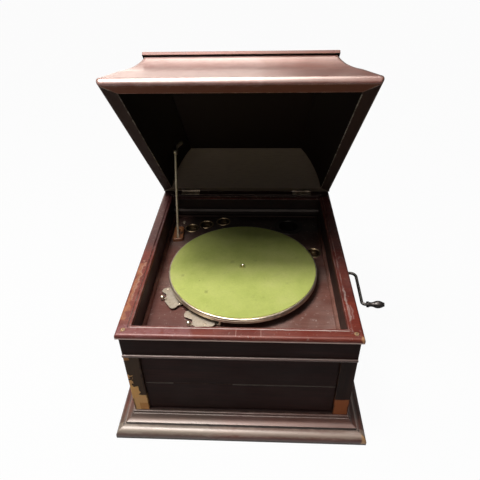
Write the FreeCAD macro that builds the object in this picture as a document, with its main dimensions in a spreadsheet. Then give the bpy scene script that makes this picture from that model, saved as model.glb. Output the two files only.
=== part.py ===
"""Tabletop gramophone: a mahogany case with a coved lid on a rod stay, a wind-up spring motor, a felted
turntable, two pivoting tone leaves in front of an inner horn, and a side crank.

Millimetres, +Z up, the front faces -Y, origin at the middle of the underside. The lid is modelled open.
"""
import FreeCAD, Part
import math
import os
import Sketcher

# Driving sizes in millimetres and degrees, one sheet row each.
SIZES = {
    # case
    "rim_width": 409, "rim_depth": 487, "rim_top": 250, "rim_thick": 10.5, "rim_member": 23.5,
    "rim_overhang": 4.5, "rim_lip": 5.5, "rim_lip_drop": 1.5, "rim_round": 4,
    "wall": 19, "bottom_thick": 9,
    "base_height": 20, "base_out": 34.5, "base_round": 13,
    "plinth_top": 42.5, "cove_out": 17, "cove_edge": 5, "cove_step": 1.3, "cove_sink": 1.6,
    "strip_out": 3.5, "strip_height": 6,
    "rail_height": 47.5, "post_width": 27.5, "sill_top": 45, "bead_height": 6, "bead_out": 3.5,
    "leaf_thick": 9, "leaf_setback": 4, "leaf_gap": 0.8, "leaf_round": 1, "leaf_pin_radius": 2.5,
    "leaf_pin_grip": 12, "leaf_pin_reach": 9, "running": 0.05,
    # motor board
    "board_depth": 60, "board_thick": 12, "board_gap": 0.4, "cleat_width": 14, "cleat_height": 12,
    "cleat_front": -140,
    "trim_size": 6.5, "ledge_low": 10, "ledge_height": 14, "ledge_out": 8, "ledge_slope": 5,
    "cup_radius": 17.6, "cup_flange": 1.6, "cup_bowl": 15, "cup_wall": 1, "cup_depth": 10,
    "cup_clearance": 0.3,
    # horn
    "mouth_back": 47, "mouth_margin": 0.5, "horn_wall": 6, "horn_neck_y": -75, "horn_neck_x": 25,
    "horn_neck_half": 108, "horn_neck_low": 13, "horn_neck_high": 103, "throat_back": 85, "throat_x": 105,
    "throat_half": 30, "throat_low": 16, "throat_high": 76, "elbow_radius": 27, "elbow_wall": 4,
    "elbow_bend": 34, "elbow_run": 6, "elbow_plate": 4, "flange_radius": 34, "flange_thick": 1.2,
    "socket_gap": 0.3,
    # lid
    "lid_open": 47, "lid_gap": 0.4, "lid_rim": 22, "lid_nose": 3, "nose_height": 14, "nose_top": 0.5,
    "lid_height": 82, "bevel_in": 22, "bevel_up": 38, "cove_mid_in": 39, "cove_mid_up": 57,
    "cove_top_in": 51.5, "ceiling_in": 74, "inner_mid_in": 37.5, "inner_mid_up": 43,
    "cap_thick": 6.5, "cap_in": 47.5, "cap_round": 2,
    "hinge_at": 138, "hinge_length": 45, "hinge_thick": 0.9, "knuckle_radius": 2.5, "hinge_pin": 1.25,
    "hinge_clearance": 0.3, "knuckle_gap": 0.2, "hinge_pocket": 0.2,
    "stay_in": 47.5, "stay_along": 132, "stay_up": 48.6, "stay_lean": 21.1, "stay_length": 222,
    "stay_radius": 2.6, "stay_eye": 4.4, "stay_eye_width": 5, "stay_pin": 2,
    "bracket_thick": 2, "bracket_width": 14, "bracket_foot": 13, "bracket_gap": 0.4, "bracket_seat": 0.2,
    "guide_ease": 1.9, "guide_height": 8, "guide_round": 6, "guide_edge": 1.2, "guide_slot_front": 7,
    "guide_slot_back": 33, "slot_length": 21, "slot_width": 7,
    # turntable
    "spindle_y": -18, "platter_diameter": 304.8, "platter_rise": 28, "felt_thick": 1.5, "felt_inset": 1.2,
    "platter_thick": 3, "platter_flange": 10, "platter_edge": 2, "groove_at": 3.6, "groove_depth": 0.8,
    "groove_width": 1.6, "hub_radius": 14, "hub_drop": 12,
    "spindle_radius": 3.5, "spindle_tip": 6,
    # spring motor
    "plate_top": 174, "plate_thick": 4, "plate_gap": 57, "lower_plate": 3, "plate_left": -112,
    "plate_right": 118, "plate_front": -64, "plate_back": 92, "plate_corner": 12, "pillar_radius": 5,
    "pillar_inset": 9, "bolt_radius": 3, "bolt_head": 6.5, "bolt_head_height": 4,
    "barrel_x": 60, "barrel_radius": 42, "barrel_wall": 2, "barrel_low": 119.5, "barrel_high": 142,
    "main_module": 1.5, "main_teeth": 64, "main_thick": 3, "small_pinion": 16,
    "second_module": 1.25, "second_teeth": 48, "second_thick": 2.5, "second_low": 115, "spindle_pinion": 12,
    "arbor_radius": 5, "arbor_pivot": 3, "lay_arbor": 3.5,
    "crank_z": 160, "wind_module": 1, "wind_teeth": 48, "wind_pinion": 12, "wind_face": 5, "wind_disc": 3,
    "ratchet_radius": 17, "ratchet_depth": 3, "ratchet_thick": 2.5, "ratchet_low": 146,
    "pawl_at": 30, "pawl_post": 2.5, "pawl_width": 6,
    "governor_module": 0.8, "governor_teeth": 64, "governor_pinion": 8, "governor_face": 4,
    "governor_disc_low": 128, "governor_disc": 2.5, "governor_radius": 1.5, "governor_length": 86,
    "governor_boss": 5, "boss_length": 4, "hanger_thick": 4, "hanger_half": 5, "hanger_drop": 2.8,
    "hanger_gap": 3, "wind_hanger": 8, "wind_hanger_half": 9, "neck_wall": 4,
    "weight_radius": 5.5, "weight_length": 12, "weight_out": 13, "weight_flat": 4, "spring_half": 25,
    "spring_leaf": 0.6, "brake_disc": 14, "brake_disc_thick": 2,
    "spring_strip": 0.9, "spring_step": 3, "spring_turns": 8,
    # brake and speed levers
    "cover_rise": 5, "cover_thick": 1.6, "lever_rise": 1.4, "lever_thick": 2, "lever_width": 7,
    "knob_radius": 4.6, "pivot_radius": 3, "pad_gap": 2.2, "pad_radius": 2.5,
    # crank
    "crank_y": 34.7, "crank_arm_x": 246.6, "crank_throw": 90.3, "crank_tilt": 5.7, "crank_rod": 3.2,
    "crank_bend": 12, "crank_bend_grip": 7, "socket_start": 104, "socket_length": 24, "socket_floor": 8,
    "socket_radius": 7, "wind_shaft": 4,
    "bush_radius": 6, "escutcheon_radius": 17, "escutcheon_thick": 2.5,
    "collar_at": 9, "collar_width": 4, "collar_radius": 6.2, "grip_gap": 0.4, "grip_length": 29,
    "grip_waist": 4.6, "grip_bulge": 7.8, "grip_end": 4.5, "rivet_thick": 1.5, "rivet_radius": 4.4,
}
# Needle cups, each by its side, its distance from that side wall and its distance from the back wall.
CUPS = [(-1, 51, 55.5), (-1, 85, 39.5), (-1, 126, 25.5), (1, 26.5, 152.5)]
# Corners of the stay guide, as X and Y from the middle of the slot under it.
GUIDE = [(-12, -12), (13, -9), (8.5, 41), (-12.5, 47)]
PILLAR_SIDES = [(-1, -1), (1, -1), (-1, 1), (1, 1)]
# Places round the levers as X and Y from the spindle. A third item is a point that a round stretch passes.
SPEED_COVER = [
    (-160, -57.5, (-158.3, -49.4)), (-152, -46), (-140, -44), (-108, -86),
    (-108, -92, (-117, -93.6)), (-124, -98.4, (-132.5, -104.6)), (-139, -100.6),
    (-150, -85.5), (-147.5, -80), (-150.5, -64.5),
]
SPEED_PIVOT = (-128, -66)
SPEED_KNOB = (-157, -74.5)
SPEED_ELBOW = (-116, -12)
SPEED_PAD = (-97.8, -12)
SPEED_FEET = [(-149, -51), (-120, -90)]
BRAKE_COVER = [
    (-107, -121.5, (-103.6, -113)), (-97, -109.5), (-62, -115), (-46, -128),
    (-46.5, -138, (-48, -147)), (-53, -150.5), (-82, -151.5), (-88, -147),
    (-90, -134), (-97, -130.5), (-106, -126.5),
]
BRAKE_PIVOT = (-52, -134)
BRAKE_KNOB = (-96, -143.5)
BRAKE_PAD_X = -38
BRAKE_FEET = [(-94, -119), (-66, -145)]


class Size:
    """A number that keeps the sheet formula that it was worked out from."""

    def __init__(self, value, text):
        self.value = float(value)
        self.text = text

    def __add__(self, other):
        other = size(other)
        return Size(self.value + other.value, f"({self.text} + {other.text})")

    def __radd__(self, other):
        return size(other) + self

    def __sub__(self, other):
        other = size(other)
        return Size(self.value - other.value, f"({self.text} - {other.text})")

    def __rsub__(self, other):
        return size(other) - self

    def __mul__(self, other):
        other = size(other)
        return Size(self.value * other.value, f"({self.text} * {other.text})")

    def __rmul__(self, other):
        return size(other) * self

    def __truediv__(self, other):
        other = size(other)
        return Size(self.value / other.value, f"({self.text} / {other.text})")

    def __neg__(self):
        return Size(-self.value, f"(0 - {self.text})")


def size(number):
    return number if isinstance(number, Size) else Size(number, repr(float(number)))


def root(number):
    return Size(math.sqrt(number.value), f"sqrt({number.text})")


def sine(angle):
    return Size(math.sin(math.radians(angle.value)), f"sin({angle.text} * 1 deg)")


def cosine(angle):
    return Size(math.cos(math.radians(angle.value)), f"cos({angle.text} * 1 deg)")


doc = FreeCAD.newDocument("gramophone")
sheet = doc.addObject("Spreadsheet::Sheet", "sizes")
for row, (alias, number) in enumerate(SIZES.items(), 1):
    sheet.set(f"A{row}", alias)
    sheet.set(f"B{row}", str(number))
    sheet.setAlias(f"B{row}", alias)
doc.recompute()


class Sheet:
    """Reads a size from the sheet by its alias."""

    def __getattr__(self, alias):
        return Size(sheet.get(alias), f"sizes.{alias}")


s = Sheet()
nodes = {}
X_AXIS = FreeCAD.Vector(1, 0, 0)
Y_AXIS = FreeCAD.Vector(0, 1, 0)
Z_AXIS = FreeCAD.Vector(0, 0, 1)
ALONG = {
    "x": FreeCAD.Rotation(Y_AXIS, 90),
    "y": FreeCAD.Rotation(X_AXIS, -90),
    "z": FreeCAD.Rotation(),
}


# Tools that make bound document objects

def bind(item, prop, number):
    item.setExpression(prop, size(number).text)


def place(item, x=0, y=0, z=0, turn=None):
    """Put an item at a bound point, turned by a fixed rotation."""
    base = FreeCAD.Vector(size(x).value, size(y).value, size(z).value)
    item.Placement = FreeCAD.Placement(base, turn or FreeCAD.Rotation())
    bind(item, "Placement.Base.x", x)
    bind(item, "Placement.Base.y", y)
    bind(item, "Placement.Base.z", z)
    return item


def keep(name, item):
    """Register an item as a named piece of the gramophone."""
    item.Label = name
    nodes[name] = item
    return item


def box(low, high):
    """A block between two bound corners."""
    item = doc.addObject("Part::Box", "block")
    for prop, a, b in zip(("Length", "Width", "Height"), low, high):
        bind(item, prop, size(b) - size(a))
    return place(item, *low)


def rod(radius, start, length, axis="z"):
    """A round bar of a bound radius and length from a point along an axis."""
    item = doc.addObject("Part::Cylinder", "bar")
    bind(item, "Radius", radius)
    bind(item, "Height", length)
    return place(item, *start, ALONG[axis])


def ball(radius, centre):
    item = doc.addObject("Part::Sphere", "ball")
    bind(item, "Radius", radius)
    return place(item, *centre)


def group(*items):
    """Separate solids in one piece."""
    item = doc.addObject("Part::Compound", "set")
    item.Links = list(items)
    return item


def fuse(*items):
    item = doc.addObject("Part::MultiFuse", "joined")
    item.Shapes = list(items)
    return item


def cut(base, *tools):
    for tool in tools:
        item = doc.addObject("Part::Cut", "trimmed")
        item.Base = base
        item.Tool = tool
        base = item
    return base


def origin_plane(body, role):
    return next(feature for feature in body.Origin.OriginFeatures if feature.Role == role)


def pin_point(sketch, geometry, end, axis, number):
    """Hold one coordinate of a sketch point at a bound distance from the sketch's origin."""
    number = size(number)
    kind = "DistanceX" if axis == 0 else "DistanceY"
    if abs(number.value) < 1e-9:
        sketch.addConstraint(Sketcher.Constraint("PointOnObject", geometry, end, -2 if axis == 0 else -1))
        return
    if number.value < 0:
        index = sketch.addConstraint(Sketcher.Constraint(kind, geometry, end, -1, 1, -number.value))
        bind(sketch, f"Constraints[{index}]", -number)
        return
    index = sketch.addConstraint(Sketcher.Constraint(kind, -1, 1, geometry, end, number.value))
    bind(sketch, f"Constraints[{index}]", number)


def draw(body, role, points, closed=True):
    """A sketch on an origin plane through bound points. A point may carry a third item, a point that the
    round stretch from it to the next one passes through."""
    sketch = body.newObject("Sketcher::SketchObject", "outline")
    sketch.AttachmentSupport = (origin_plane(body, role), [""])
    sketch.MapMode = "FlatFace"
    flat = [FreeCAD.Vector(size(p[0]).value, size(p[1]).value, 0) for p in points]
    count = len(points) if closed else len(points) - 1
    ends = []
    for i in range(count):
        a, b = flat[i], flat[(i + 1) % len(flat)]
        if len(points[i]) > 2:
            mid = FreeCAD.Vector(size(points[i][2][0]).value, size(points[i][2][1]).value, 0)
            forward = (mid - a).cross(b - mid).z > 0
            edge = sketch.addGeometry(Part.Arc(a, mid, b) if forward else Part.Arc(b, mid, a), False)
        else:
            forward = True
            edge = sketch.addGeometry(Part.LineSegment(a, b), False)
        ends.append((edge, 1, 2) if forward else (edge, 2, 1))
    for i in range(count if closed else count - 1):
        here, after = ends[i], ends[(i + 1) % count]
        sketch.addConstraint(Sketcher.Constraint("Coincident", here[0], here[2], after[0], after[1]))
    for i, (edge, start, end) in enumerate(ends):
        pin_point(sketch, edge, start, 0, points[i][0])
        pin_point(sketch, edge, start, 1, points[i][1])
        if len(points[i]) > 2:
            through = FreeCAD.Vector(*[size(n).value for n in points[i][2]], 0)
            dot = sketch.addGeometry(Part.Point(through), True)
            pin_point(sketch, dot, 1, 0, points[i][2][0])
            pin_point(sketch, dot, 1, 1, points[i][2][1])
            sketch.addConstraint(Sketcher.Constraint("PointOnObject", dot, 1, edge))
    if not closed:
        edge, start, end = ends[-1]
        pin_point(sketch, edge, end, 0, points[-1][0])
        pin_point(sketch, edge, end, 1, points[-1][1])
    return sketch


def pad(role, points, length, both_ways=False, reverse=False):
    """A body with one outline drawn out to a bound length."""
    body = doc.addObject("PartDesign::Body", "body")
    item = body.newObject("PartDesign::Pad", "pad")
    item.Profile = draw(body, role, points)
    item.SideType = "Symmetric" if both_ways else "One side"
    item.Reversed = reverse
    bind(item, "Length", length)
    return body


def turned(points):
    """A body turned about Z from an outline of radius and height."""
    body = doc.addObject("PartDesign::Body", "body")
    sketch = draw(body, "XZ_Plane", points)
    item = body.newObject("PartDesign::Revolution", "turning")
    item.Profile = sketch
    item.ReferenceAxis = (sketch, ["V_Axis"])
    item.Angle = 360
    return body


def moulding(points, length, nose, reach):
    """A straight moulding with both ends mitred. Its outline runs inwards (local Y) from the frame's edge,
    nose is how far it stands out past that edge, and reach is more than its width."""
    body = pad("YZ_Plane", points, length + 2 * nose, both_ways=True)
    for side in (-1, 1):
        sketch = draw(body, "XY_Plane", [
            (side * (length / 2 + nose), -nose),
            (side * (length / 2 + nose), reach),
            (side * (length / 2 - reach), reach),
        ])
        item = body.newObject("PartDesign::Pocket", "mitre")
        item.Profile = sketch
        item.Type = "ThroughAll"
        item.SideType = "Symmetric"
    return body


def frame_of(points, half_x, half_y, nose=0, reach=0, z=0, back_points=None):
    """Four mitred mouldings round a rectangle: front, right, back and left. The back one may be plainer."""
    runs = []
    for quarter in range(4):
        long_side = quarter % 2 == 1
        outline = back_points if back_points and quarter == 2 else points
        bar = moulding(outline, 2 * (half_y if long_side else half_x), nose, reach)
        out = half_x if long_side else half_y
        turn = FreeCAD.Rotation(Z_AXIS, 90 * quarter)
        way = turn.multVec(-Y_AXIS)
        place(bar, round(way.x) * out, round(way.y) * out, z, turn)
        runs.append(bar)
    return runs


def solid_feature(shape, x=0, y=0, z=0, turn=None):
    item = doc.addObject("Part::Feature", "solid")
    item.Shape = shape
    return place(item, x, y, z, turn)


# Sizes worked out from the driving ones

rim_bottom = s.rim_top - s.rim_thick
body_x = s.rim_width / 2 - s.rim_overhang
body_y = s.rim_depth / 2 - s.rim_overhang
inner_x = body_x - s.wall
inner_y = body_y - s.wall
rail_low = rim_bottom - s.rail_height
opening_x = body_x - s.post_width
board_top = s.rim_top - s.board_depth
board_low = board_top - s.board_thick
hinge_y = s.rim_depth / 2
hinge_z = s.rim_top + s.lid_gap / 2
knuckle_room = s.knuckle_radius + s.hinge_clearance
hinge_leaf = s.rim_member - s.rim_lip - knuckle_room
stay_x = s.rim_width / 2 - s.stay_in
pivot_y = hinge_y - s.stay_along * cosine(s.lid_open) + s.stay_up * sine(s.lid_open)
pivot_z = hinge_z + s.stay_along * sine(s.lid_open) + s.stay_up * cosine(s.lid_open)
guide_y = pivot_y - (pivot_z - board_top) * sine(s.stay_lean) / cosine(s.stay_lean) + s.guide_ease
throat_y = inner_y - s.throat_back
leaf_height = (rail_low - s.sill_top - 3 * s.leaf_gap) / 2
leaf_y = s.leaf_setback + s.leaf_thick / 2 - body_y
leaf_lower_z = s.sill_top + s.leaf_gap + leaf_height / 2
leaf_upper_z = leaf_lower_z + leaf_height + s.leaf_gap
felt_top = board_top + s.platter_rise
plate_low = s.plate_top - s.plate_thick
lower_top = plate_low - s.plate_gap
lower_low = lower_top - s.lower_plate


# Case

def build_case():
    keep("bottom_board", box((-inner_x, -inner_y, 0), (inner_x, inner_y, s.bottom_thick)))
    keep("side_wall_left", box((-body_x, -inner_y, 0), (-inner_x, body_y, rim_bottom)))
    right = box((inner_x, -inner_y, 0), (body_x, body_y, rim_bottom))
    hole = rod(s.bush_radius, (inner_x - 1, s.crank_y, s.crank_z), s.wall + 2, "x")
    keep("side_wall_right", cut(right, hole))
    keep("back_wall", box((-inner_x, inner_y, 0), (inner_x, body_y, rim_bottom)))
    keep("front_top_rail", box((-body_x, -body_y, rail_low), (body_x, -inner_y, rim_bottom)))
    keep("front_bottom_rail", box((-opening_x, -body_y, 0), (opening_x, -inner_y, s.sill_top)))
    for side, name in ((-1, "front_post_left"), (1, "front_post_right")):
        inner = side * opening_x if side > 0 else -body_x
        post = box((inner, -body_y, 0), (inner + s.post_width, -inner_y, rail_low))
        start = opening_x - 1 if side > 0 else -opening_x - s.leaf_pin_reach - 1
        depth = s.leaf_pin_reach + 2
        bores = []
        for z in (leaf_lower_z, leaf_upper_z):
            bores.append(rod(s.leaf_pin_radius + s.running, (start, leaf_y, z), depth, "x"))
        keep(name, cut(post, *bores))
    bead = pad("YZ_Plane", [
        (0, 0, (-s.bead_out, s.bead_height / 2)),
        (0, s.bead_height),
    ], 2 * body_x, both_ways=True)
    keep("front_bead", place(bead, 0, -body_y, rail_low))
    build_plinth()
    build_rim()


def build_plinth():
    """Two tiers of mitred moulding planted round the foot of the case."""
    bend = s.base_round * (1 - math.sqrt(0.5))
    base = frame_of([
        (0, 0),
        (s.base_out, 0),
        (s.base_out, s.base_height),
        (s.base_round, s.base_height, (bend, s.base_height - bend)),
        (0, s.base_height - s.base_round),
    ], body_x + s.base_out, body_y + s.base_out, 0, s.base_out + 1)
    keep("plinth_base_moulding", group(*base))
    strip_in = s.cove_out - s.strip_out
    step_in = strip_in - s.cove_step
    step_up = s.plinth_top - s.base_height - s.strip_height
    cove = frame_of([
        (0, 0),
        (s.cove_out, 0),
        (s.cove_out, s.plinth_top - s.base_height),
        (strip_in, s.plinth_top - s.base_height),
        (strip_in, step_up),
        (step_in, step_up, (step_in / 2 + s.cove_sink, (step_up + s.cove_edge) / 2 - s.cove_sink)),
        (0, s.cove_edge),
    ], body_x + s.cove_out, body_y + s.cove_out, 0, s.cove_out + 1, s.base_height)
    keep("plinth_cove_moulding", group(*cove))


def build_rim():
    """The frame that caps the walls: a rounded outer edge, left square at the back where the hinges are let
    in, and a sunk lip along the inner one."""
    bend = s.rim_round * (1 - math.sqrt(0.5))
    inner_edge = [
        (0, 0),
        (s.rim_member, 0),
        (s.rim_member, s.rim_thick - s.rim_lip_drop),
        (s.rim_member - s.rim_lip, s.rim_thick - s.rim_lip_drop),
        (s.rim_member - s.rim_lip, s.rim_thick),
    ]
    rounded = [(s.rim_round, s.rim_thick, (bend, s.rim_thick - bend)), (0, s.rim_thick - s.rim_round)]
    square = [(0, s.rim_thick)]
    bars = frame_of(inner_edge + rounded, s.rim_width / 2, s.rim_depth / 2, 0, s.rim_member + 1, rim_bottom,
                    inner_edge + square)
    bars[2] = cut(bars[2], hinge_pockets(-s.hinge_thick, s.lid_gap, hinge_y, hinge_z, s.rim_top))
    keep("top_rim_frame", group(*bars))


def hinge_pockets(floor, top, axis_y, axis_z, face_z):
    """What is taken out of a back bar for both hinges: a bed for each leaf and a room for its knuckles."""
    half = s.hinge_length / 2 + s.hinge_pocket
    rooms = []
    for x in (-s.hinge_at, s.hinge_at):
        front = axis_y - knuckle_room - hinge_leaf - s.hinge_pocket
        rooms.append(box((x - half, front, face_z + floor), (x + half, axis_y + s.lid_nose + 1, face_z + top)))
        rooms.append(rod(knuckle_room, (x - half, axis_y, axis_z), 2 * half, "x"))
    return group(*[fuse(*rooms[:2]), fuse(*rooms[2:])])


# Tone leaves

def build_leaves():
    half = opening_x - s.leaf_gap
    for name, z in (("lower", leaf_lower_z), ("upper", leaf_upper_z)):
        front, back = leaf_y - s.leaf_thick / 2, leaf_y + s.leaf_thick / 2
        leaf = box((-half, front, z - leaf_height / 2), (half, back, z + leaf_height / 2))
        pins = []
        for side in (-1, 1):
            start = half - s.leaf_pin_grip if side > 0 else -opening_x - s.leaf_pin_reach
            length = s.leaf_pin_grip + s.leaf_gap + s.leaf_pin_reach
            pins.append(rod(s.leaf_pin_radius, (start, leaf_y, z), length, "x"))
        keep(f"{name}_leaf_pins", group(*pins))
        soft = doc.addObject("Part::Fillet", "eased")
        soft.Base = leaf
        doc.recompute()
        longest = s.leaf_pin_grip.value
        long_edges = [i for i, e in enumerate(leaf.Shape.Edges, 1) if e.BoundBox.XLength > longest]
        soft.Edges = [(i, s.leaf_round.value, s.leaf_round.value) for i in long_edges]
        holes = []
        for side in (-1, 1):
            start = half - s.leaf_pin_grip if side > 0 else -half - 1
            holes.append(rod(s.leaf_pin_radius, (start, leaf_y, z), s.leaf_pin_grip + 1, "x"))
        keep(f"tone_leaf_{name}", cut(soft, *holes))


# Motor board and what stands on it

def build_board():
    edge_x = inner_x - s.board_gap
    edge_y = inner_y - s.board_gap
    board = box((-edge_x, -edge_y, board_low), (edge_x, edge_y, board_top))
    through = s.board_thick + 2
    holes = [rod(s.cup_bowl + s.cup_clearance, (x, y, board_low - 1), through) for x, y in cup_places()]
    holes.append(rod(2 * s.spindle_radius, (0, s.spindle_y, board_low - 1), through))
    holes.append(rod(s.elbow_radius + s.socket_gap, (s.throat_x, elbow_up_y, board_low - 1), through))
    holes.append(stay_slot(s.slot_length / 2, s.slot_length / 2, board_low - 1, board_top + 1))
    holes.append(rod(s.pivot_radius + s.running, (*spot(SPEED_PIVOT), board_low - 1), through))
    holes.append(rod(s.pivot_radius + s.running, (*spot(BRAKE_PIVOT), board_low - 1), through))
    holes += [rod(s.bolt_radius, (x, y, board_low - 1), through) for x, y in pillar_places()]
    keep("motor_board", cut(board, group(*holes)))
    keep("motor_board_cleats", group(*[
        box((x, s.cleat_front, board_low - s.cleat_height), (x + s.cleat_width, inner_y, board_low))
        for x in (-inner_x, inner_x - s.cleat_width)
    ]))
    bend = s.trim_size * (1 - math.sqrt(0.5))
    strips = frame_of([
        (0, 0),
        (s.trim_size, 0, (s.trim_size - bend, s.trim_size - bend)),
        (0, s.trim_size),
    ], inner_x, inner_y, 0, s.trim_size + 1, board_top)
    keep("motor_board_trim", group(*strips))
    ledge = pad("YZ_Plane", [
        (0, 0),
        (0, s.ledge_height),
        (-s.ledge_slope, s.ledge_height),
        (-s.ledge_out, s.ledge_height - s.ledge_slope),
        (-s.ledge_out, 0),
    ], 2 * inner_x, both_ways=True)
    keep("back_ledge", place(ledge, 0, inner_y, board_top + s.ledge_low))
    build_cups()


def cup_places():
    return [(side * (inner_x - aside), inner_y - back) for side, aside, back in CUPS]


def on_board(points):
    """Places given from the spindle, as bound X and Y with the mid-points of their round stretches."""
    moved = []
    for x, y, *mids in points:
        moved.append((x, s.spindle_y + y, *[(a, s.spindle_y + b) for a, b in mids]))
    return moved


def spot(point):
    return on_board([point])[0]


def build_cups():
    bowl_in = s.cup_bowl - s.cup_wall
    crest = (s.cup_radius + bowl_in) / 2
    shoulder = s.cup_flange * 0.8
    cups = []
    for x, y in cup_places():
        cup = turned([
            (0, -s.cup_depth),
            (s.cup_bowl - s.cup_wall, -s.cup_depth),
            (s.cup_bowl, s.cup_wall - s.cup_depth),
            (s.cup_bowl, 0),
            (s.cup_radius, 0, (s.cup_radius - s.cup_flange / 4, shoulder)),
            (crest, s.cup_flange, ((crest + bowl_in) / 2, shoulder)),
            (bowl_in, 0),
            (bowl_in, s.cup_wall - s.cup_depth),
            (0, s.cup_wall - s.cup_depth),
        ])
        cups.append(place(cup, x, y, board_top))
    keep("needle_cups", group(*cups))


def stay_slot(front, back, low, high):
    """The way through for the lid's stay, long from front to back."""
    wide = s.slot_width / 2
    return box((-stay_x - wide, guide_y - front, low), (wide - stay_x, guide_y + back, high))


def build_guide():
    """The low plate round the slot, with rounded corners and an eased upper edge."""
    block = place(pad("XY_Plane", GUIDE, s.guide_height), -stay_x, guide_y, board_top)
    doc.recompute()
    upright, upper = [], []
    for i, edge in enumerate(block.Shape.Edges, 1):
        if edge.BoundBox.ZLength > s.guide_height.value / 2:
            upright.append(i)
        elif edge.BoundBox.ZMin > (board_top + s.guide_height / 2).value:
            upper.append(i)
    soft = doc.addObject("Part::Fillet", "eased")
    soft.Base = block
    soft.Edges = [(i, s.guide_round.value, s.guide_round.value) for i in upright] + [
        (i, s.guide_edge.value, s.guide_edge.value) for i in upper]
    slot = stay_slot(s.guide_slot_front, s.guide_slot_back, board_top - 1, board_top + s.guide_height + 1)
    keep("stay_guide", cut(soft, slot))


# Horn and elbow

elbow_start = throat_y
elbow_up_y = throat_y + s.elbow_run + s.elbow_bend
elbow_z = (s.throat_low + s.throat_high) / 2


def board_end(ring, side):
    """The cut end of one of a horn's four boards at a ring: depth, left, right, low and high."""
    depth, left, right, low, high = ring
    wall = s.horn_wall
    floor, roof = low + wall, high - wall
    corners = {
        "top": [(left, roof), (right, roof), (right, high), (left, high)],
        "bottom": [(left, low), (right, low), (right, floor), (left, floor)],
        "left": [(left, floor), (left + wall, floor), (left + wall, roof), (left, roof)],
        "right": [(right - wall, floor), (right, floor), (right, roof), (right - wall, roof)],
    }[side]
    body = doc.addObject("PartDesign::Body", "section")
    sketch = draw(body, "XZ_Plane", corners)
    bind(sketch, "AttachmentOffset.Base.z", -size(depth))
    return sketch


def horn_boards():
    """Four boards from the mouth to the neck under the motor, and four from there to the throat."""
    mouth_half = opening_x + s.horn_wall
    mouth_low = s.sill_top - s.horn_wall
    mouth = (s.mouth_back - body_y, -mouth_half, mouth_half, mouth_low, board_low - s.mouth_margin)
    neck_left, neck_right = s.horn_neck_x - s.horn_neck_half, s.horn_neck_x + s.horn_neck_half
    neck = (s.horn_neck_y, neck_left, neck_right, s.horn_neck_low, s.horn_neck_high)
    throat = (throat_y, s.throat_x - s.throat_half, s.throat_x + s.throat_half, s.throat_low, s.throat_high)
    boards = []
    for near, far in ((mouth, neck), (neck, throat)):
        for side in ("top", "bottom", "left", "right"):
            loft = doc.addObject("Part::Loft", "board")
            loft.Sections = [board_end(near, side), board_end(far, side)]
            loft.Solid = True
            loft.Ruled = True
            boards.append(loft)
    return boards


def elbow_solid(radius):
    """A level run, a quarter bend and a rise to the top of the motor board."""
    run = rod(radius, (s.throat_x, elbow_start, elbow_z), s.elbow_run, "y")
    bend = doc.addObject("Part::Torus", "bend")
    bind(bend, "Radius1", s.elbow_bend)
    bind(bend, "Radius2", radius)
    bend.Angle3 = 90
    turn = FreeCAD.Rotation(-Z_AXIS, Y_AXIS, X_AXIS, "XYZ")
    place(bend, s.throat_x, elbow_start + s.elbow_run, elbow_z + s.elbow_bend, turn)
    rise_z = elbow_z + s.elbow_bend
    rise = rod(radius, (s.throat_x, elbow_up_y, rise_z), board_top - rise_z)
    return fuse(run, bend, rise)


def build_horn():
    keep("horn", group(*horn_boards()))
    plate = box(
        (s.throat_x - s.throat_half, elbow_start, s.throat_low),
        (s.throat_x + s.throat_half, elbow_start + s.elbow_plate, s.throat_high),
    )
    shell = fuse(plate, elbow_solid(s.elbow_radius))
    keep("horn_elbow", cut(shell, elbow_solid(s.elbow_radius - s.elbow_wall)))
    ring = rod(s.flange_radius, (s.throat_x, elbow_up_y, board_top), s.flange_thick)
    bore = rod(s.elbow_radius - s.elbow_wall, (s.throat_x, elbow_up_y, board_top - 1), s.flange_thick + 2)
    keep("tone_arm_flange", cut(ring, bore))


# Lid, built shut about the hinge axis and then swung open

def lid_piece(name, item):
    """Swing a shut lid piece about the hinge axis."""
    holder = group(item)
    place(holder, 0, hinge_y, hinge_z, FreeCAD.Rotation(-X_AXIS, s.lid_open.value))
    bind(holder, "Placement.Rotation.Angle", s.lid_open * Size(1, "1 deg"))
    return keep(name, holder)


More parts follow.
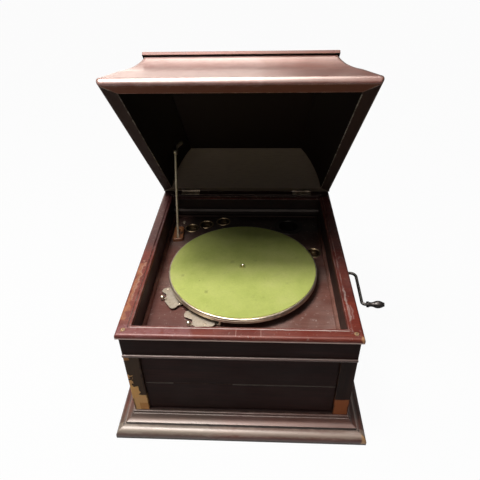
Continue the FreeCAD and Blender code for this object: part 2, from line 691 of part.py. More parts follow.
def build_lid():
    low = s.lid_gap / 2
    centre_y = -s.rim_depth / 2
    cove = [
        (s.lid_rim, 0, (s.inner_mid_in, s.inner_mid_up)),
        (s.ceiling_in, s.lid_height),
        (s.cove_top_in, s.lid_height, (s.cove_mid_in, s.cove_mid_up)),
        (s.bevel_in, s.bevel_up),
    ]
    half_nose = s.nose_height / 2
    rounded = [(s.nose_top, s.nose_height, (-s.lid_nose, half_nose)), (0, 0)]
    # The back one is square below, so that it closes the joint behind the rim when the lid stands open.
    shoulder = (s.nose_top - 0.75 * (s.nose_top + s.lid_nose), half_nose + 0.56 * half_nose)
    square = [(s.nose_top, s.nose_height, shoulder), (-s.lid_nose, half_nose), (-s.lid_nose, 0)]
    bars = frame_of(cove + rounded, s.rim_width / 2, s.rim_depth / 2, s.lid_nose + 1, s.ceiling_in + 1, low,
                    cove + square)
    for bar, name in zip(bars, ("lid_front", "lid_right", "lid_back", "lid_left")):
        across = dict(bar.ExpressionEngine)[".Placement.Base.y"]
        bind(bar, "Placement.Base.y", centre_y + Size(0, f"({across})"))
        if name == "lid_back":
            bar = cut(bar, hinge_pockets(-low, s.hinge_thick, size(0), size(0), low))
        lid_piece(name, bar)
    half_x = s.rim_width / 2 - s.cap_in
    half_y = s.rim_depth / 2 - s.cap_in
    cap_low = low + s.lid_height
    cap = box((-half_x, centre_y - half_y, cap_low), (half_x, centre_y + half_y, cap_low + s.cap_thick))
    soft = doc.addObject("Part::Fillet", "eased")
    soft.Base = cap
    doc.recompute()
    middle = (cap_low + s.cap_thick / 2).value
    top_edges = [i for i, e in enumerate(cap.Shape.Edges, 1) if e.BoundBox.ZMin > middle]
    soft.Edges = [(i, s.cap_round.value, s.cap_round.value) for i in top_edges]
    lid_piece("lid_top_panel", soft)
    build_hinges(low)
    build_stay(low)


def hinge_half(x, own, plate_z):
    """One leaf with its share of the five knuckles, on the hinge axis at the origin."""
    front = -knuckle_room
    step = s.hinge_length / 5
    half = s.hinge_length / 2
    plate = box((x - half, front - hinge_leaf, plate_z), (x + half, front, plate_z + s.hinge_thick))
    parts = [plate]
    for k in own:
        low = x - half + k * step + s.knuckle_gap / 2
        high = low + step - s.knuckle_gap
        parts.append(box((low, front - 1, plate_z), (high, 0, plate_z + s.hinge_thick)))
        parts.append(rod(s.knuckle_radius, (low, 0, 0), step - s.knuckle_gap, "x"))
    bore = rod(s.hinge_pin + s.running, (x - s.hinge_length, 0, 0), 2 * s.hinge_length, "x")
    return cut(fuse(*parts), bore)


def build_hinges(low):
    lower = []
    for x in (-s.hinge_at, s.hinge_at):
        lower.append(hinge_half(x, (0, 2, 4), -low - s.hinge_thick))
        lower.append(rod(s.hinge_pin, (x - s.hinge_length / 2, 0, 0), s.hinge_length, "x"))
    keep("hinge_cabinet_leaves", place(group(*lower), 0, hinge_y, hinge_z))
    upper = [hinge_half(x, (1, 3), low) for x in (-s.hinge_at, s.hinge_at)]
    lid_piece("hinge_lid_leaves", group(*upper))


def build_stay(low):
    """The rod that holds the lid up, and the bracket on the lid's left cove that it hangs from."""
    arc = Part.Arc(*[FreeCAD.Vector(a.value, b.value, 0) for a, b in (
        (s.lid_rim, size(0)), (s.inner_mid_in, s.inner_mid_up), (s.ceiling_in, s.lid_height))])
    curve = arc.toShape().Curve
    middle = curve.Center
    radius = curve.Radius - s.bracket_seat.value
    left = s.rim_width / 2
    thick = s.bracket_thick.value
    edge = (s.stay_in + s.stay_eye_width / 2 + s.bracket_gap).value
    lug_low = (s.stay_up - low - s.stay_eye).value

    def on_cove(inwards):
        return inwards, middle.y + math.sqrt(radius ** 2 - (inwards - middle.x) ** 2)

    near, bend, far = on_cove(edge), on_cove(edge + thick), on_cove(edge + s.bracket_foot.value)
    points = [
        (*near, bend),
        far,
        (far[0], far[1] - 1.5 * thick),
        (bend[0], bend[1] - 1.5 * thick),
        (bend[0], lug_low),
        (edge, lug_low),
    ]
    wires = []
    flat = [FreeCAD.Vector(p[0] - left.value, 0, p[1] + low.value) for p in points]
    for i, p in enumerate(points):
        after = flat[(i + 1) % len(flat)]
        if len(p) > 2:
            through = FreeCAD.Vector(p[2][0] - left.value, 0, p[2][1] + low.value)
            wires.append(Part.Arc(flat[i], through, after).toShape())
        else:
            wires.append(Part.LineSegment(flat[i], after).toShape())
    lug = Part.Face(Part.Wire(wires)).extrude(FreeCAD.Vector(0, s.bracket_width.value, 0))
    bracket = solid_feature(lug, 0, -s.stay_along - s.bracket_width / 2, 0)
    pin_x = -stay_x - s.stay_eye_width / 2
    pin = rod(s.stay_pin, (pin_x, -s.stay_along, s.stay_up), s.stay_eye_width + 1, "x")
    lid_piece("stay_bracket", fuse(bracket, pin))
    half = s.stay_eye_width / 2
    eye = rod(s.stay_eye, (-half, 0, 0), s.stay_eye_width, "x")
    bar = rod(s.stay_radius, (0, 0, -s.stay_length), s.stay_length - s.stay_pin)
    bore = rod(s.stay_pin + s.running, (-s.stay_eye_width, 0, 0), 2 * s.stay_eye_width, "x")
    holder = group(cut(fuse(eye, bar), bore))
    place(holder, -stay_x, pivot_y, pivot_z, FreeCAD.Rotation(-X_AXIS, s.stay_lean.value))
    bind(holder, "Placement.Rotation.Angle", s.stay_lean * Size(1, "1 deg"))
    keep("stay_rod", holder)


# Turntable

def build_turntable():
    rim = s.platter_diameter / 2
    top = felt_top - s.felt_thick
    under = top - s.platter_thick
    bend = s.platter_edge * (1 - math.sqrt(0.5))
    platter = turned([
        (s.spindle_radius, top - s.hub_drop),
        (s.hub_radius, top - s.hub_drop),
        (s.hub_radius, under),
        (rim - s.platter_thick, under),
        (rim - s.platter_thick, top - s.platter_flange),
        (rim, top - s.platter_flange),
        (rim, top - s.groove_at - s.groove_width),
        (rim - s.groove_depth, top - s.groove_at - s.groove_width / 2),
        (rim, top - s.groove_at),
        (rim, top - s.platter_edge, (rim - bend, top - bend)),
        (rim - s.platter_edge, top),
        (s.spindle_radius, top),
    ])
    keep("turntable_platter", place(platter, 0, s.spindle_y, 0))
    felt = rod(rim - s.platter_edge - s.felt_inset, (0, s.spindle_y, top), s.felt_thick)
    keep("turntable_felt", cut(felt, rod(s.spindle_radius, (0, s.spindle_y, top - 1), s.felt_thick + 2)))
    tip = felt_top + s.spindle_tip
    foot = lower_low
    spindle = turned([
        (0, foot),
        (s.spindle_radius, foot),
        (s.spindle_radius, tip - s.spindle_radius, (s.spindle_radius * 0.8, tip - s.spindle_radius * 0.4)),
        (s.spindle_radius * 0.3, tip),
        (0, tip),
    ])
    spindle = place(spindle, 0, s.spindle_y, 0)
    teeth = spur(s.spindle_pinion, s.second_module, s.second_thick + 1, s.spindle_radius)
    turn = mesh_turn(second_angle + 180, s.spindle_pinion, True)
    pinion = solid_feature(teeth, 0, s.spindle_y, s.second_low - 0.5, turn)
    keep("turntable_spindle", fuse(spindle, pinion))
    face = s.governor_face
    wheel = contrate(s.governor_teeth, s.governor_module, s.governor_disc, face, s.spindle_radius)
    turn = mesh_turn(180, s.governor_teeth, False)
    keep("governor_wheel", solid_feature(wheel, 0, s.spindle_y, s.governor_disc_low, turn))


# Gears

def spur(teeth, module, thick, bore):
    """A toothed wheel with straight-sided teeth and some play, a tooth on +X, its lower face at zero."""
    count = round(teeth.value)
    pitch = module.value * count / 2
    tip = pitch + 0.85 * module.value
    deep = pitch - 1.15 * module.value
    points = []
    for k in range(count):
        middle = 2 * math.pi * k / count
        for radius, share in ((deep, -0.35), (tip, -0.11), (tip, 0.11), (deep, 0.35)):
            angle = middle + 2 * math.pi / count * share
            points.append(FreeCAD.Vector(radius * math.cos(angle), radius * math.sin(angle), 0))
    face = Part.Face(Part.makePolygon(points + points[:1]))
    hole = Part.makeCylinder(bore.value, 3 * size(thick).value, FreeCAD.Vector(0, 0, -size(thick).value))
    return face.extrude(FreeCAD.Vector(0, 0, size(thick).value)).cut(hole)


def contrate(teeth, module, disc, face_width, bore):
    """A crown wheel: a disc with teeth standing on its upper face, one of them on +X."""
    count = round(teeth.value)
    pitch = module.value * count / 2
    inner = pitch - face_width.value / 2
    outer = pitch + face_width.value / 2
    plate = Part.makeCylinder(outer, disc.value)
    plate = plate.cut(Part.makeCylinder(bore.value, 3 * disc.value, FreeCAD.Vector(0, 0, -disc.value)))
    wide = 0.42 * math.pi * module.value
    narrow = 0.2 * math.pi * module.value
    tall = 2 * module.value
    corners = [(-wide / 2, 0), (wide / 2, 0), (narrow / 2, tall), (-narrow / 2, tall)]
    points = [FreeCAD.Vector(inner, y, disc.value + z) for y, z in corners]
    end_face = Part.Face(Part.makePolygon(points + points[:1]))
    tooth = end_face.extrude(FreeCAD.Vector(outer - inner - 0.1, 0, 0))
    teeth_shapes = []
    for k in range(count):
        one = tooth.copy()
        one.rotate(FreeCAD.Vector(), Z_AXIS, 360 * k / count)
        teeth_shapes.append(one)
    return plate.fuse(teeth_shapes).removeSplitter()


def mesh_turn(towards, teeth, tooth):
    """The turn about Z that brings a tooth, or else a gap, to a direction in degrees."""
    shift = 0 if tooth else 180 / round(teeth.value)
    return FreeCAD.Rotation(Z_AXIS, towards + shift)


main_distance = s.main_module * (s.main_teeth + s.small_pinion) / 2
second_distance = s.second_module * (s.second_teeth + s.spindle_pinion) / 2
span_x = s.barrel_x
span_y = s.crank_y - s.spindle_y
span = root(span_x * span_x + span_y * span_y)
reach_along = (second_distance * second_distance - main_distance * main_distance + span * span) / (2 * span)
reach_aside = root(second_distance * second_distance - reach_along * reach_along)
lay_x = (reach_along * span_x + reach_aside * span_y) / span
lay_y = s.spindle_y + (reach_along * span_y - reach_aside * span_x) / span
second_angle = math.degrees(math.atan2(lay_y.value - s.spindle_y.value, lay_x.value)) + 180
main_angle = math.degrees(math.atan2(lay_y.value - s.crank_y.value, lay_x.value - s.barrel_x.value))


# Spring motor

def pillar_places():
    inset = s.pillar_inset
    places = []
    for a, b in PILLAR_SIDES:
        x = s.plate_left + inset if a < 0 else s.plate_right - inset
        y = s.plate_front + inset if b < 0 else s.plate_back - inset
        places.append((x, y))
    return places


def plate(low, thick, holes):
    """A motor plate with rounded corners and bored for its arbors."""
    c = s.plate_corner
    k = c * (1 - math.sqrt(0.5))
    x0, x1, y0, y1 = s.plate_left, s.plate_right, s.plate_front, s.plate_back
    body = pad("XY_Plane", [
        (x0 + c, y0),
        (x1 - c, y0, (x1 - k, y0 + k)),
        (x1, y0 + c),
        (x1, y1 - c, (x1 - k, y1 - k)),
        (x1 - c, y1),
        (x0 + c, y1, (x0 + k, y1 - k)),
        (x0, y1 - c),
        (x0, y0 + c, (x0 + k, y0 + k)),
    ], thick)
    place(body, 0, 0, low)
    tools = [rod(radius, (x, y, low - 1), thick + 2) for x, y, radius in holes]
    return cut(body, group(*tools))


def build_motor_frame():
    bolts = [(x, y, s.bolt_radius) for x, y in pillar_places()]
    arbors = [
        (0, s.spindle_y, s.spindle_radius + s.running),
        (lay_x, lay_y, s.lay_arbor + s.running),
        (s.barrel_x, s.crank_y, s.arbor_pivot + s.running),
    ]
    keep("motor_top_plate", plate(plate_low, s.plate_thick, bolts + arbors))
    keep("motor_bottom_plate", plate(lower_low, s.lower_plate, arbors))
    pillars = []
    fixings = []
    for x, y in pillar_places():
        post = rod(s.pillar_radius, (x, y, lower_top), plate_low - lower_top)
        pillars.append(cut(post, rod(s.bolt_radius, (x, y, lower_top + 10), plate_low - lower_top)))
        head = rod(s.bolt_head, (x, y, board_top), s.bolt_head_height)
        washer = rod(s.bolt_head, (x, y, s.plate_top), board_low - s.plate_top)
        shank_low = plate_low - 15
        fixings.append(fuse(head, washer, rod(s.bolt_radius, (x, y, shank_low), board_top - shank_low + 1)))
    keep("motor_pillars", group(*pillars))
    keep("motor_bolts", group(*fixings))
    build_brackets()


governor_z = s.governor_disc_low + s.governor_disc + s.governor_module * (1 + s.governor_pinion / 2)
governor_at = s.governor_module * s.governor_teeth / 2


def build_brackets():
    """Bearings that hang from the top plate: two for the governor, one for the winding shaft."""
    near = -governor_at + s.governor_face / 2 + s.hanger_gap
    far = near - s.governor_length
    wide = s.hanger_half
    bearings = []
    for x in (near, far + s.hanger_thick):
        hanger = box(
            (x, s.spindle_y - wide, governor_z - s.hanger_drop),
            (x + s.hanger_thick, s.spindle_y + wide, plate_low),
        )
        bore = rod(s.governor_radius + s.running, (x - 1, s.spindle_y, governor_z), s.hanger_thick + 2, "x")
        bearings.append(cut(hanger, bore))
    x = s.barrel_x + s.wind_module * s.wind_teeth / 2 + s.wind_face + s.hanger_gap
    wide = s.wind_hanger_half
    hanger_low = s.crank_z - 2 * s.wind_shaft
    hanger = box((x, s.crank_y - wide, hanger_low), (x + s.wind_hanger, s.crank_y + wide, plate_low))
    bore = rod(s.wind_shaft + s.running, (x - 1, s.crank_y, s.crank_z), s.wind_hanger + 2, "x")
    bearings.append(cut(hanger, bore))
    post_x = s.barrel_x - s.pawl_at
    post = rod(s.pawl_post, (post_x, s.crank_y, s.ratchet_low - 0.5), plate_low - s.ratchet_low + 0.5)
    bearings.append(post)
    keep("motor_bearings", group(*bearings))


def build_train():
    """The barrel, its spring, the lay shaft and the winding arbor."""
    drum = turned([
        (s.arbor_radius + s.running, s.barrel_low),
        (s.barrel_radius, s.barrel_low),
        (s.barrel_radius, s.barrel_high),
        (s.barrel_radius - s.barrel_wall, s.barrel_high),
        (s.barrel_radius - s.barrel_wall, s.barrel_low + s.barrel_wall),
        (s.arbor_radius + s.running, s.barrel_low + s.barrel_wall),
    ])
    place(drum, s.barrel_x, s.crank_y, 0)
    wheel = spur(s.main_teeth, s.main_module, s.main_thick, s.arbor_radius + s.running)
    turn = mesh_turn(main_angle, s.main_teeth, True)
    cover = solid_feature(wheel, s.barrel_x, s.crank_y, s.barrel_high, turn)
    keep("spring_barrel", fuse(drum, cover))
    build_spring()
    high = spur(s.small_pinion, s.main_module, s.main_thick + 2, s.lay_arbor)
    low = spur(s.second_teeth, s.second_module, s.second_thick, s.lay_arbor)
    arbor = rod(s.lay_arbor, (lay_x, lay_y, lower_low), s.plate_top - lower_low)
    turn = mesh_turn(main_angle + 180, s.small_pinion, False)
    pinion = solid_feature(high, lay_x, lay_y, s.barrel_high - 1, turn)
    turn = mesh_turn(second_angle, s.second_teeth, False)
    second = solid_feature(low, lay_x, lay_y, s.second_low, turn)
    keep("lay_shaft_gear", fuse(arbor, pinion, second))
    shaft = rod(s.arbor_radius, (s.barrel_x, s.crank_y, lower_top + 0.5), plate_low - lower_top - 1)
    pivots = rod(s.arbor_pivot, (s.barrel_x, s.crank_y, lower_low), s.plate_top - lower_low)
    disc_low = s.crank_z - s.wind_module * (1 + s.wind_pinion / 2) - s.wind_disc
    crown = contrate(s.wind_teeth, s.wind_module, s.wind_disc, s.wind_face, s.arbor_radius)
    crown = solid_feature(crown, s.barrel_x, s.crank_y, disc_low, mesh_turn(0, s.wind_teeth, False))
    steps = round(s.wind_teeth.value / 3)
    outline = Part.Face(Part.makePolygon(ratchet_points(steps)))
    ring = outline.extrude(FreeCAD.Vector(0, 0, s.ratchet_thick.value))
    deep = s.ratchet_thick.value
    ring = ring.cut(Part.makeCylinder(s.arbor_radius.value, 3 * deep, FreeCAD.Vector(0, 0, -deep)))
    ring = solid_feature(ring, s.barrel_x, s.crank_y, s.ratchet_low, FreeCAD.Rotation(Z_AXIS, 180))
    neck_low = s.ratchet_low + s.ratchet_thick
    neck = rod(s.arbor_radius + s.neck_wall, (s.barrel_x, s.crank_y, neck_low), disc_low - neck_low)
    neck = cut(neck, rod(s.arbor_radius, (s.barrel_x, s.crank_y, s.ratchet_low), s.crank_z - s.ratchet_low))
    keep("winding_wheel", fuse(shaft, pivots, crown, ring, neck))


def ratchet_points(steps):
    """A saw-toothed ring, closed."""
    points = []
    for k in range(steps):
        angle = 2 * math.pi * k / steps
        after = 2 * math.pi * (k + 1) / steps
        high = s.ratchet_radius.value
        low = high - s.ratchet_depth.value
        points.append(FreeCAD.Vector(high * math.cos(angle), high * math.sin(angle), 0))
        points.append(FreeCAD.Vector(low * math.cos(after), low * math.sin(after), 0))
    return points + points[:1]


def build_pawl():
    """The click that stops the ratchet from running back, hung on its post behind the wheel."""
    reach = s.pawl_at - s.ratchet_radius - 0.4
    x = s.barrel_x - s.pawl_at
    arm = pad("XY_Plane", [
        (0, -s.pawl_width / 2, (-s.pawl_width / 2, 0)),
        (0, s.pawl_width / 2),
        (reach, 0.6),
        (reach, -0.6),
    ], s.ratchet_thick)
    place(arm, x, s.crank_y, s.ratchet_low)
    bore = rod(s.pawl_post + s.running, (x, s.crank_y, s.ratchet_low - 1), s.ratchet_thick + 2)
    keep("ratchet_pawl", cut(arm, bore))


def build_spring():
    """The mainspring: a flat strip wound from the arbor out to the barrel wall."""
    low = s.barrel_low + s.barrel_wall + 0.5
    tall = s.barrel_high - 0.5 - low
    start = s.barrel_radius - s.barrel_wall - 0.5
    turns = round(s.spring_turns.value)
    step = s.spring_step.value

    def side(radius):
        edges = []
        for k in range(2 * turns):
            outer = radius - step * k / 2
            inner = outer - step / 2
            sign = 1 if k % 2 == 0 else -1
            a = FreeCAD.Vector(sign * outer, 0, 0)
            b = FreeCAD.Vector(-sign * inner, 0, 0)
            centre = (a.x + b.x) / 2
            half = abs(a.x - b.x) / 2
            edges.append(Part.Arc(a, FreeCAD.Vector(centre, sign * half, 0), b))
        return edges

    outside = side(start.value)
    inside = side(start.value - s.spring_strip.value)
    head = Part.LineSegment(inside[0].StartPoint, outside[0].StartPoint)
    tail = Part.LineSegment(outside[-1].EndPoint, inside[-1].EndPoint)
    edges = [e.toShape() for e in (*outside, tail, *reversed(inside), head)]
    strip = Part.Face(Part.Wire(Part.__sortEdges__(edges))).extrude(FreeCAD.Vector(0, 0, tall.value))
    keep("mainspring", solid_feature(strip, s.barrel_x, s.crank_y, low))


def build_governor():
    """A level shaft with three sprung weights and a brake disc, driven by the spindle's crown wheel."""
    near = -governor_at + s.governor_face / 2 + s.hanger_gap
    far = near - s.governor_length
    y = s.spindle_y
    shaft = rod(s.governor_radius, (far, y, governor_z), near + s.hanger_thick - far, "x")
    teeth = spur(s.governor_pinion, s.governor_module, s.governor_face, s.governor_radius)
    turn = FreeCAD.Rotation(Y_AXIS, 90)
    pinion = solid_feature(teeth, -governor_at - s.governor_face / 2, y, governor_z, turn)
    boss, run = s.governor_boss, s.boss_length
    fixed_x = -governor_at - s.governor_face - run
    collar = rod(boss, (fixed_x - run, y, governor_z), run, "x")
    collar = cut(collar, rod(s.governor_radius, (fixed_x - run - 1, y, governor_z), run + 2, "x"))
    keep("governor_shaft", fuse(shaft, pinion, collar))
    slide_x = fixed_x - run - 2 * s.spring_half
    slider = rod(boss, (slide_x - run, y, governor_z), run, "x")
    disc_x = slide_x - run - s.brake_disc_thick
    disc = rod(s.brake_disc, (disc_x, y, governor_z), s.brake_disc_thick, "x")
    bore = rod(s.governor_radius + s.running, (disc_x - 1, y, governor_z), slide_x - disc_x + 2, "x")
    keep("governor_disc", cut(fuse(slider, disc), bore))
    weights = []
    middle = fixed_x - run - s.spring_half
    bow = s.weight_out - s.weight_radius / 2
    half, flat = s.spring_half, s.weight_flat
    under = [(half + run, boss), (half, boss), (flat, bow), (-flat, bow), (-half, boss), (-half - run, boss)]
    strip_points = under + [(a, b + s.spring_leaf) for a, b in reversed(under)]
    for k in range(3):
        turn = FreeCAD.Rotation(X_AXIS, 120 * k)
        strip = pad("XZ_Plane", strip_points, flat, both_ways=True)
        place(strip, middle, y, governor_z, turn)
        way = turn.multVec(Z_AXIS)
        spot_y = y + way.y * s.weight_out
        spot_z = governor_z + way.z * s.weight_out
        lump = rod(s.weight_radius, (middle - s.weight_length / 2, spot_y, spot_z), s.weight_length, "x")
        weights.append(fuse(strip, lump))
    keep("governor_weights", group(*weights))


# Brake and speed levers

def rounded_plate(points, low, thick):
    body = pad("XY_Plane", points, thick)
    return place(body, 0, 0, low)


def between(start, finish):
    """The level way from one place to another as plain numbers."""
    gaps = [size(b).value - size(a).value for a, b in zip(start, finish)]
    return FreeCAD.Vector(gaps[0], gaps[1], 0)


def lever_solid(pivot, knob, low):
    """A flat lever from its pivot to a ball knob that stands on its end."""
    away = between(pivot, knob)
    bar = pad("XY_Plane", [
        (0, -s.lever_width / 2),
        (away.Length, -s.lever_width / 3, (away.Length + s.lever_width / 3, 0)),
        (away.Length, s.lever_width / 3),
        (0, s.lever_width / 2, (-s.lever_width / 2, 0)),
    ], s.lever_thick)
    place(bar, *pivot, low, FreeCAD.Rotation(X_AXIS, away))
    grip = ball(s.knob_radius, (*knob, low + s.lever_thick + s.knob_radius - 1))
    return [bar, grip]


def flat_bar(start, finish, low, width, thick):
    """A flat bar between two points of the board, with a round start."""
    away = between(start, finish)
    bar = pad("XY_Plane", [
        (0, -width / 2),
        (away.Length, -width / 2),
        (away.Length, width / 2),
        (0, width / 2, (-width / 2, 0)),
    ], thick)
    return place(bar, *start, low, FreeCAD.Rotation(X_AXIS, away))


def build_levers():
    cover_low = board_top + s.cover_rise
    lever_low = board_top + s.lever_rise
    thin = s.pivot_radius - 1
    for name, outline, pivot, feet in (
        ("speed", SPEED_COVER, SPEED_PIVOT, SPEED_FEET),
        ("brake", BRAKE_COVER, BRAKE_PIVOT, BRAKE_FEET),
    ):
        top = rounded_plate(on_board(outline), cover_low, s.cover_thick)
        legs = [rod(s.pivot_radius, (*place_of, board_top), s.cover_rise) for place_of in on_board(feet)]
        bore = rod(thin + s.running, (*spot(pivot), cover_low - 1), s.cover_thick + 2)
        keep(f"{name}_cover_plate", cut(fuse(top, *legs), bore))
    for name, pivot, knob in (("speed", SPEED_PIVOT, SPEED_KNOB), ("brake", BRAKE_PIVOT, BRAKE_KNOB)):
        parts = lever_solid(spot(pivot), spot(knob), lever_low)
        foot = board_low - 4 if name == "brake" else governor_z - s.lever_width / 2
        parts.append(rod(s.pivot_radius, (*spot(pivot), foot), lever_low - foot))
        parts.append(rod(thin, (*spot(pivot), lever_low), cover_low + s.cover_thick - lever_low))
        parts += speed_arm() if name == "speed" else brake_arm(lever_low)
        keep(f"{name}_lever", fuse(*parts))


def brake_arm(low):
    """The other end of the brake lever, with the peg that presses the turntable's rim from inside."""
    reach = s.platter_diameter / 2 - s.platter_thick - s.pad_gap - s.pad_radius
    y = s.spindle_y - root(reach * reach - BRAKE_PAD_X * BRAKE_PAD_X)
    arm = flat_bar(spot(BRAKE_PIVOT), (BRAKE_PAD_X, y), low, s.lever_width, s.lever_thick)
    peg_high = felt_top - s.felt_thick - s.platter_thick - 2
    return [arm, rod(s.pad_radius, (BRAKE_PAD_X, y, low), peg_high - low)]


def speed_arm():
    """The lower arm of the speed lever, which carries a pad beside the governor's disc."""
    low = governor_z - s.lever_width / 2
    first = flat_bar(spot(SPEED_PIVOT), spot(SPEED_ELBOW), low, s.lever_width, s.lever_width)
    pad_bar = flat_bar(spot(SPEED_ELBOW), spot(SPEED_PAD), low, s.lever_width, s.lever_width)
    return [first, pad_bar]


# Crank

def build_crank():
    flange = rod(s.escutcheon_radius, (body_x, s.crank_y, s.crank_z), s.escutcheon_thick, "x")
    bush = rod(s.bush_radius, (inner_x, s.crank_y, s.crank_z), s.wall, "x")
    length = s.wall + s.escutcheon_thick + 2
    bore = rod(s.crank_rod + s.running, (inner_x - 1, s.crank_y, s.crank_z), length, "x")
    keep("crank_escutcheon", cut(fuse(flange, bush), bore))
    pinion_x = s.barrel_x + s.wind_module * s.wind_teeth / 2 - s.wind_face / 2
    teeth = spur(s.wind_pinion, s.wind_module, s.wind_face, s.wind_shaft)
    pinion = solid_feature(teeth, pinion_x, s.crank_y, s.crank_z, FreeCAD.Rotation(Y_AXIS, 90))
    shaft = rod(s.wind_shaft, (pinion_x, s.crank_y, s.crank_z), s.socket_start - pinion_x, "x")
    sleeve = rod(s.socket_radius, (s.socket_start, s.crank_y, s.crank_z), s.socket_length, "x")
    hole_x = s.socket_start + s.socket_floor
    hole = rod(s.crank_rod, (hole_x, s.crank_y, s.crank_z), s.socket_length, "x")
    keep("winding_shaft", cut(fuse(shaft, pinion, sleeve), hole))
    build_handle(hole_x)


def build_handle(start):
    """The bent rod, its collar and the wooden grip that turns on the rod's end."""
    arm = s.crank_arm_x - start
    throw = s.crank_throw
    ease = 1 - math.sqrt(0.5)
    grip_bend = s.crank_bend_grip
    far = s.collar_at + s.collar_width + s.grip_gap + s.grip_length + s.grip_gap
    body = doc.addObject("PartDesign::Body", "body")
    spine = draw(body, "XY_Plane", [
        (0, 0),
        (arm - s.crank_bend, 0, (arm - s.crank_bend * ease, -s.crank_bend * ease)),
        (arm, -s.crank_bend),
        (arm, grip_bend - throw, (arm + grip_bend * ease, grip_bend * ease - throw)),
        (arm + grip_bend, -throw),
        (arm + far + s.rivet_thick, -throw),
    ], closed=False)
    ring = body.newObject("Sketcher::SketchObject", "ring")
    ring.AttachmentSupport = (origin_plane(body, "YZ_Plane"), [""])
    ring.MapMode = "FlatFace"
    ring.addGeometry(Part.Circle(FreeCAD.Vector(), Z_AXIS, s.crank_rod.value), False)
    ring.addConstraint(Sketcher.Constraint("Coincident", 0, 3, -1, 1))
    index = ring.addConstraint(Sketcher.Constraint("Radius", 0, s.crank_rod.value))
    bind(ring, f"Constraints[{index}]", s.crank_rod)
    pipe = body.newObject("PartDesign::AdditivePipe", "bar")
    pipe.Profile = ring
    pipe.Spine = spine
    rivet = rod(s.rivet_radius, (arm + far, -throw, 0), s.rivet_thick, "x")
    crank_piece("crank_rod", fuse(body, rivet), start)
    collar = rod(s.collar_radius, (arm + s.collar_at, -throw, 0), s.collar_width, "x")
    hole = rod(s.crank_rod, (arm + s.collar_at - 1, -throw, 0), s.collar_width + 2, "x")
    crank_piece("crank_collar", cut(collar, hole), start)
    bore = s.crank_rod + s.running
    grip = turned([
        (bore, 0),
        (s.grip_waist + 0.6, 0, (s.grip_waist, s.grip_length * 0.15)),
        (s.grip_waist + 0.8, s.grip_length * 0.33, (s.grip_bulge, s.grip_length * 0.68)),
        (s.grip_end, s.grip_length),
        (bore, s.grip_length),
    ])
    place(grip, arm + s.collar_at + s.collar_width + s.grip_gap, -throw, 0, ALONG["x"])
    crank_piece("crank_grip", grip, start)


def crank_piece(name, item, start):
    """Set a piece of the flat crank on the winding axis, hanging a little."""
    holder = place(group(item), start, s.crank_y, s.crank_z, FreeCAD.Rotation(X_AXIS, s.crank_tilt.value))
    bind(holder, "Placement.Rotation.Angle", s.crank_tilt * Size(1, "1 deg"))
    return keep(name, holder)


def main():
    build_case()
    build_leaves()
    build_board()
    build_guide()
    build_horn()
    build_lid()
    build_turntable()
    build_motor_frame()
    build_train()
    build_pawl()
    build_governor()
    build_levers()
    build_crank()
    doc.recompute()
    faults = [o.Name for o in doc.Objects if "Invalid" in o.State or "Error" in o.State]
    for name, item in nodes.items():
        if item.Shape.isNull() or not item.Shape.isValid() or not item.Shape.Solids:
            faults.append(name)
    if faults:
        raise RuntimeError(f"failed: {faults}")
    os.makedirs("parts", exist_ok=True)
    for name, item in nodes.items():
        item.Shape.exportStep(f"parts/{name}.step")
    print(len(nodes), "pieces")


main()
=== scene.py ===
"""Looks of the tabletop gramophone: worn mahogany, nickel plate, faded felt and black japan."""
import math

import bmesh
import bpy
from mathutils import Matrix, Vector


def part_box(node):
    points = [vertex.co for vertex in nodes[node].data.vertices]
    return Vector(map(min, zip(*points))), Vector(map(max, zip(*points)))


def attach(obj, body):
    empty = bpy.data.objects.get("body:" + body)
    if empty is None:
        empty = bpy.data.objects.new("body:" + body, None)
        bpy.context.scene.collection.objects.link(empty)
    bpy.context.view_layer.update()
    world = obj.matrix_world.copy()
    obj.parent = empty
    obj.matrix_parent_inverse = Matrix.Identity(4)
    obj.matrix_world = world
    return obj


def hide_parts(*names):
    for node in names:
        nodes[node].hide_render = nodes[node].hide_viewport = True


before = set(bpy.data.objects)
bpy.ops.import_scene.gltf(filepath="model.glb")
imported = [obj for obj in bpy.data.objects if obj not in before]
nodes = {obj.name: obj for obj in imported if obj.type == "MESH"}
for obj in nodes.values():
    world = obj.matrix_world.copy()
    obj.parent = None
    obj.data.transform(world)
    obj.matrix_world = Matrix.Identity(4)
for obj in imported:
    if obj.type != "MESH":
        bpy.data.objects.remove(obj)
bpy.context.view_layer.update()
scene = bpy.context.scene
scene.view_settings.view_transform = "Standard"

# Places and sizes on the object, lengths in millimetres
MM = 0.001
LID_OPEN = math.radians(47)
LID_UP = (0, math.sin(LID_OPEN), math.cos(LID_OPEN))
# The height of the lid's under edge along LID_UP, and a point below the middle of that edge.
LID_EDGE = 348.7
LID_MIDDLE = (0, 62.8, 414.6)
SPINDLE = (0.0, -18.0)
CASE_TOP = 250
PLATE_TOP = 196.6
GUIDE_TOP = 190.8
HINGE_X, HINGE_Y, HINGE_STEP = 138, 232.5, 16
CRANK_PLATE = (202.5, 34.7, 160)
CRANK_RING = 12
FELT_TOP = 218
FELT_HOLE = 3.7
FELT_WAVE = 0.12
# How many sides and rings the felt's mesh has.
FELT_SIDES = 144
FELT_RINGS = 24

# The camera that was fitted to the photograph: its turn is an axis times an angle, its place in millimetres
CAMERA_LENS = 33.698
CAMERA_SHIFT = (0.00774, 0.0031)
CAMERA_TURN = (2.18644, 0.03651, -0.04655)
CAMERA_PLACE = (30.04, -745.99, 796.15)

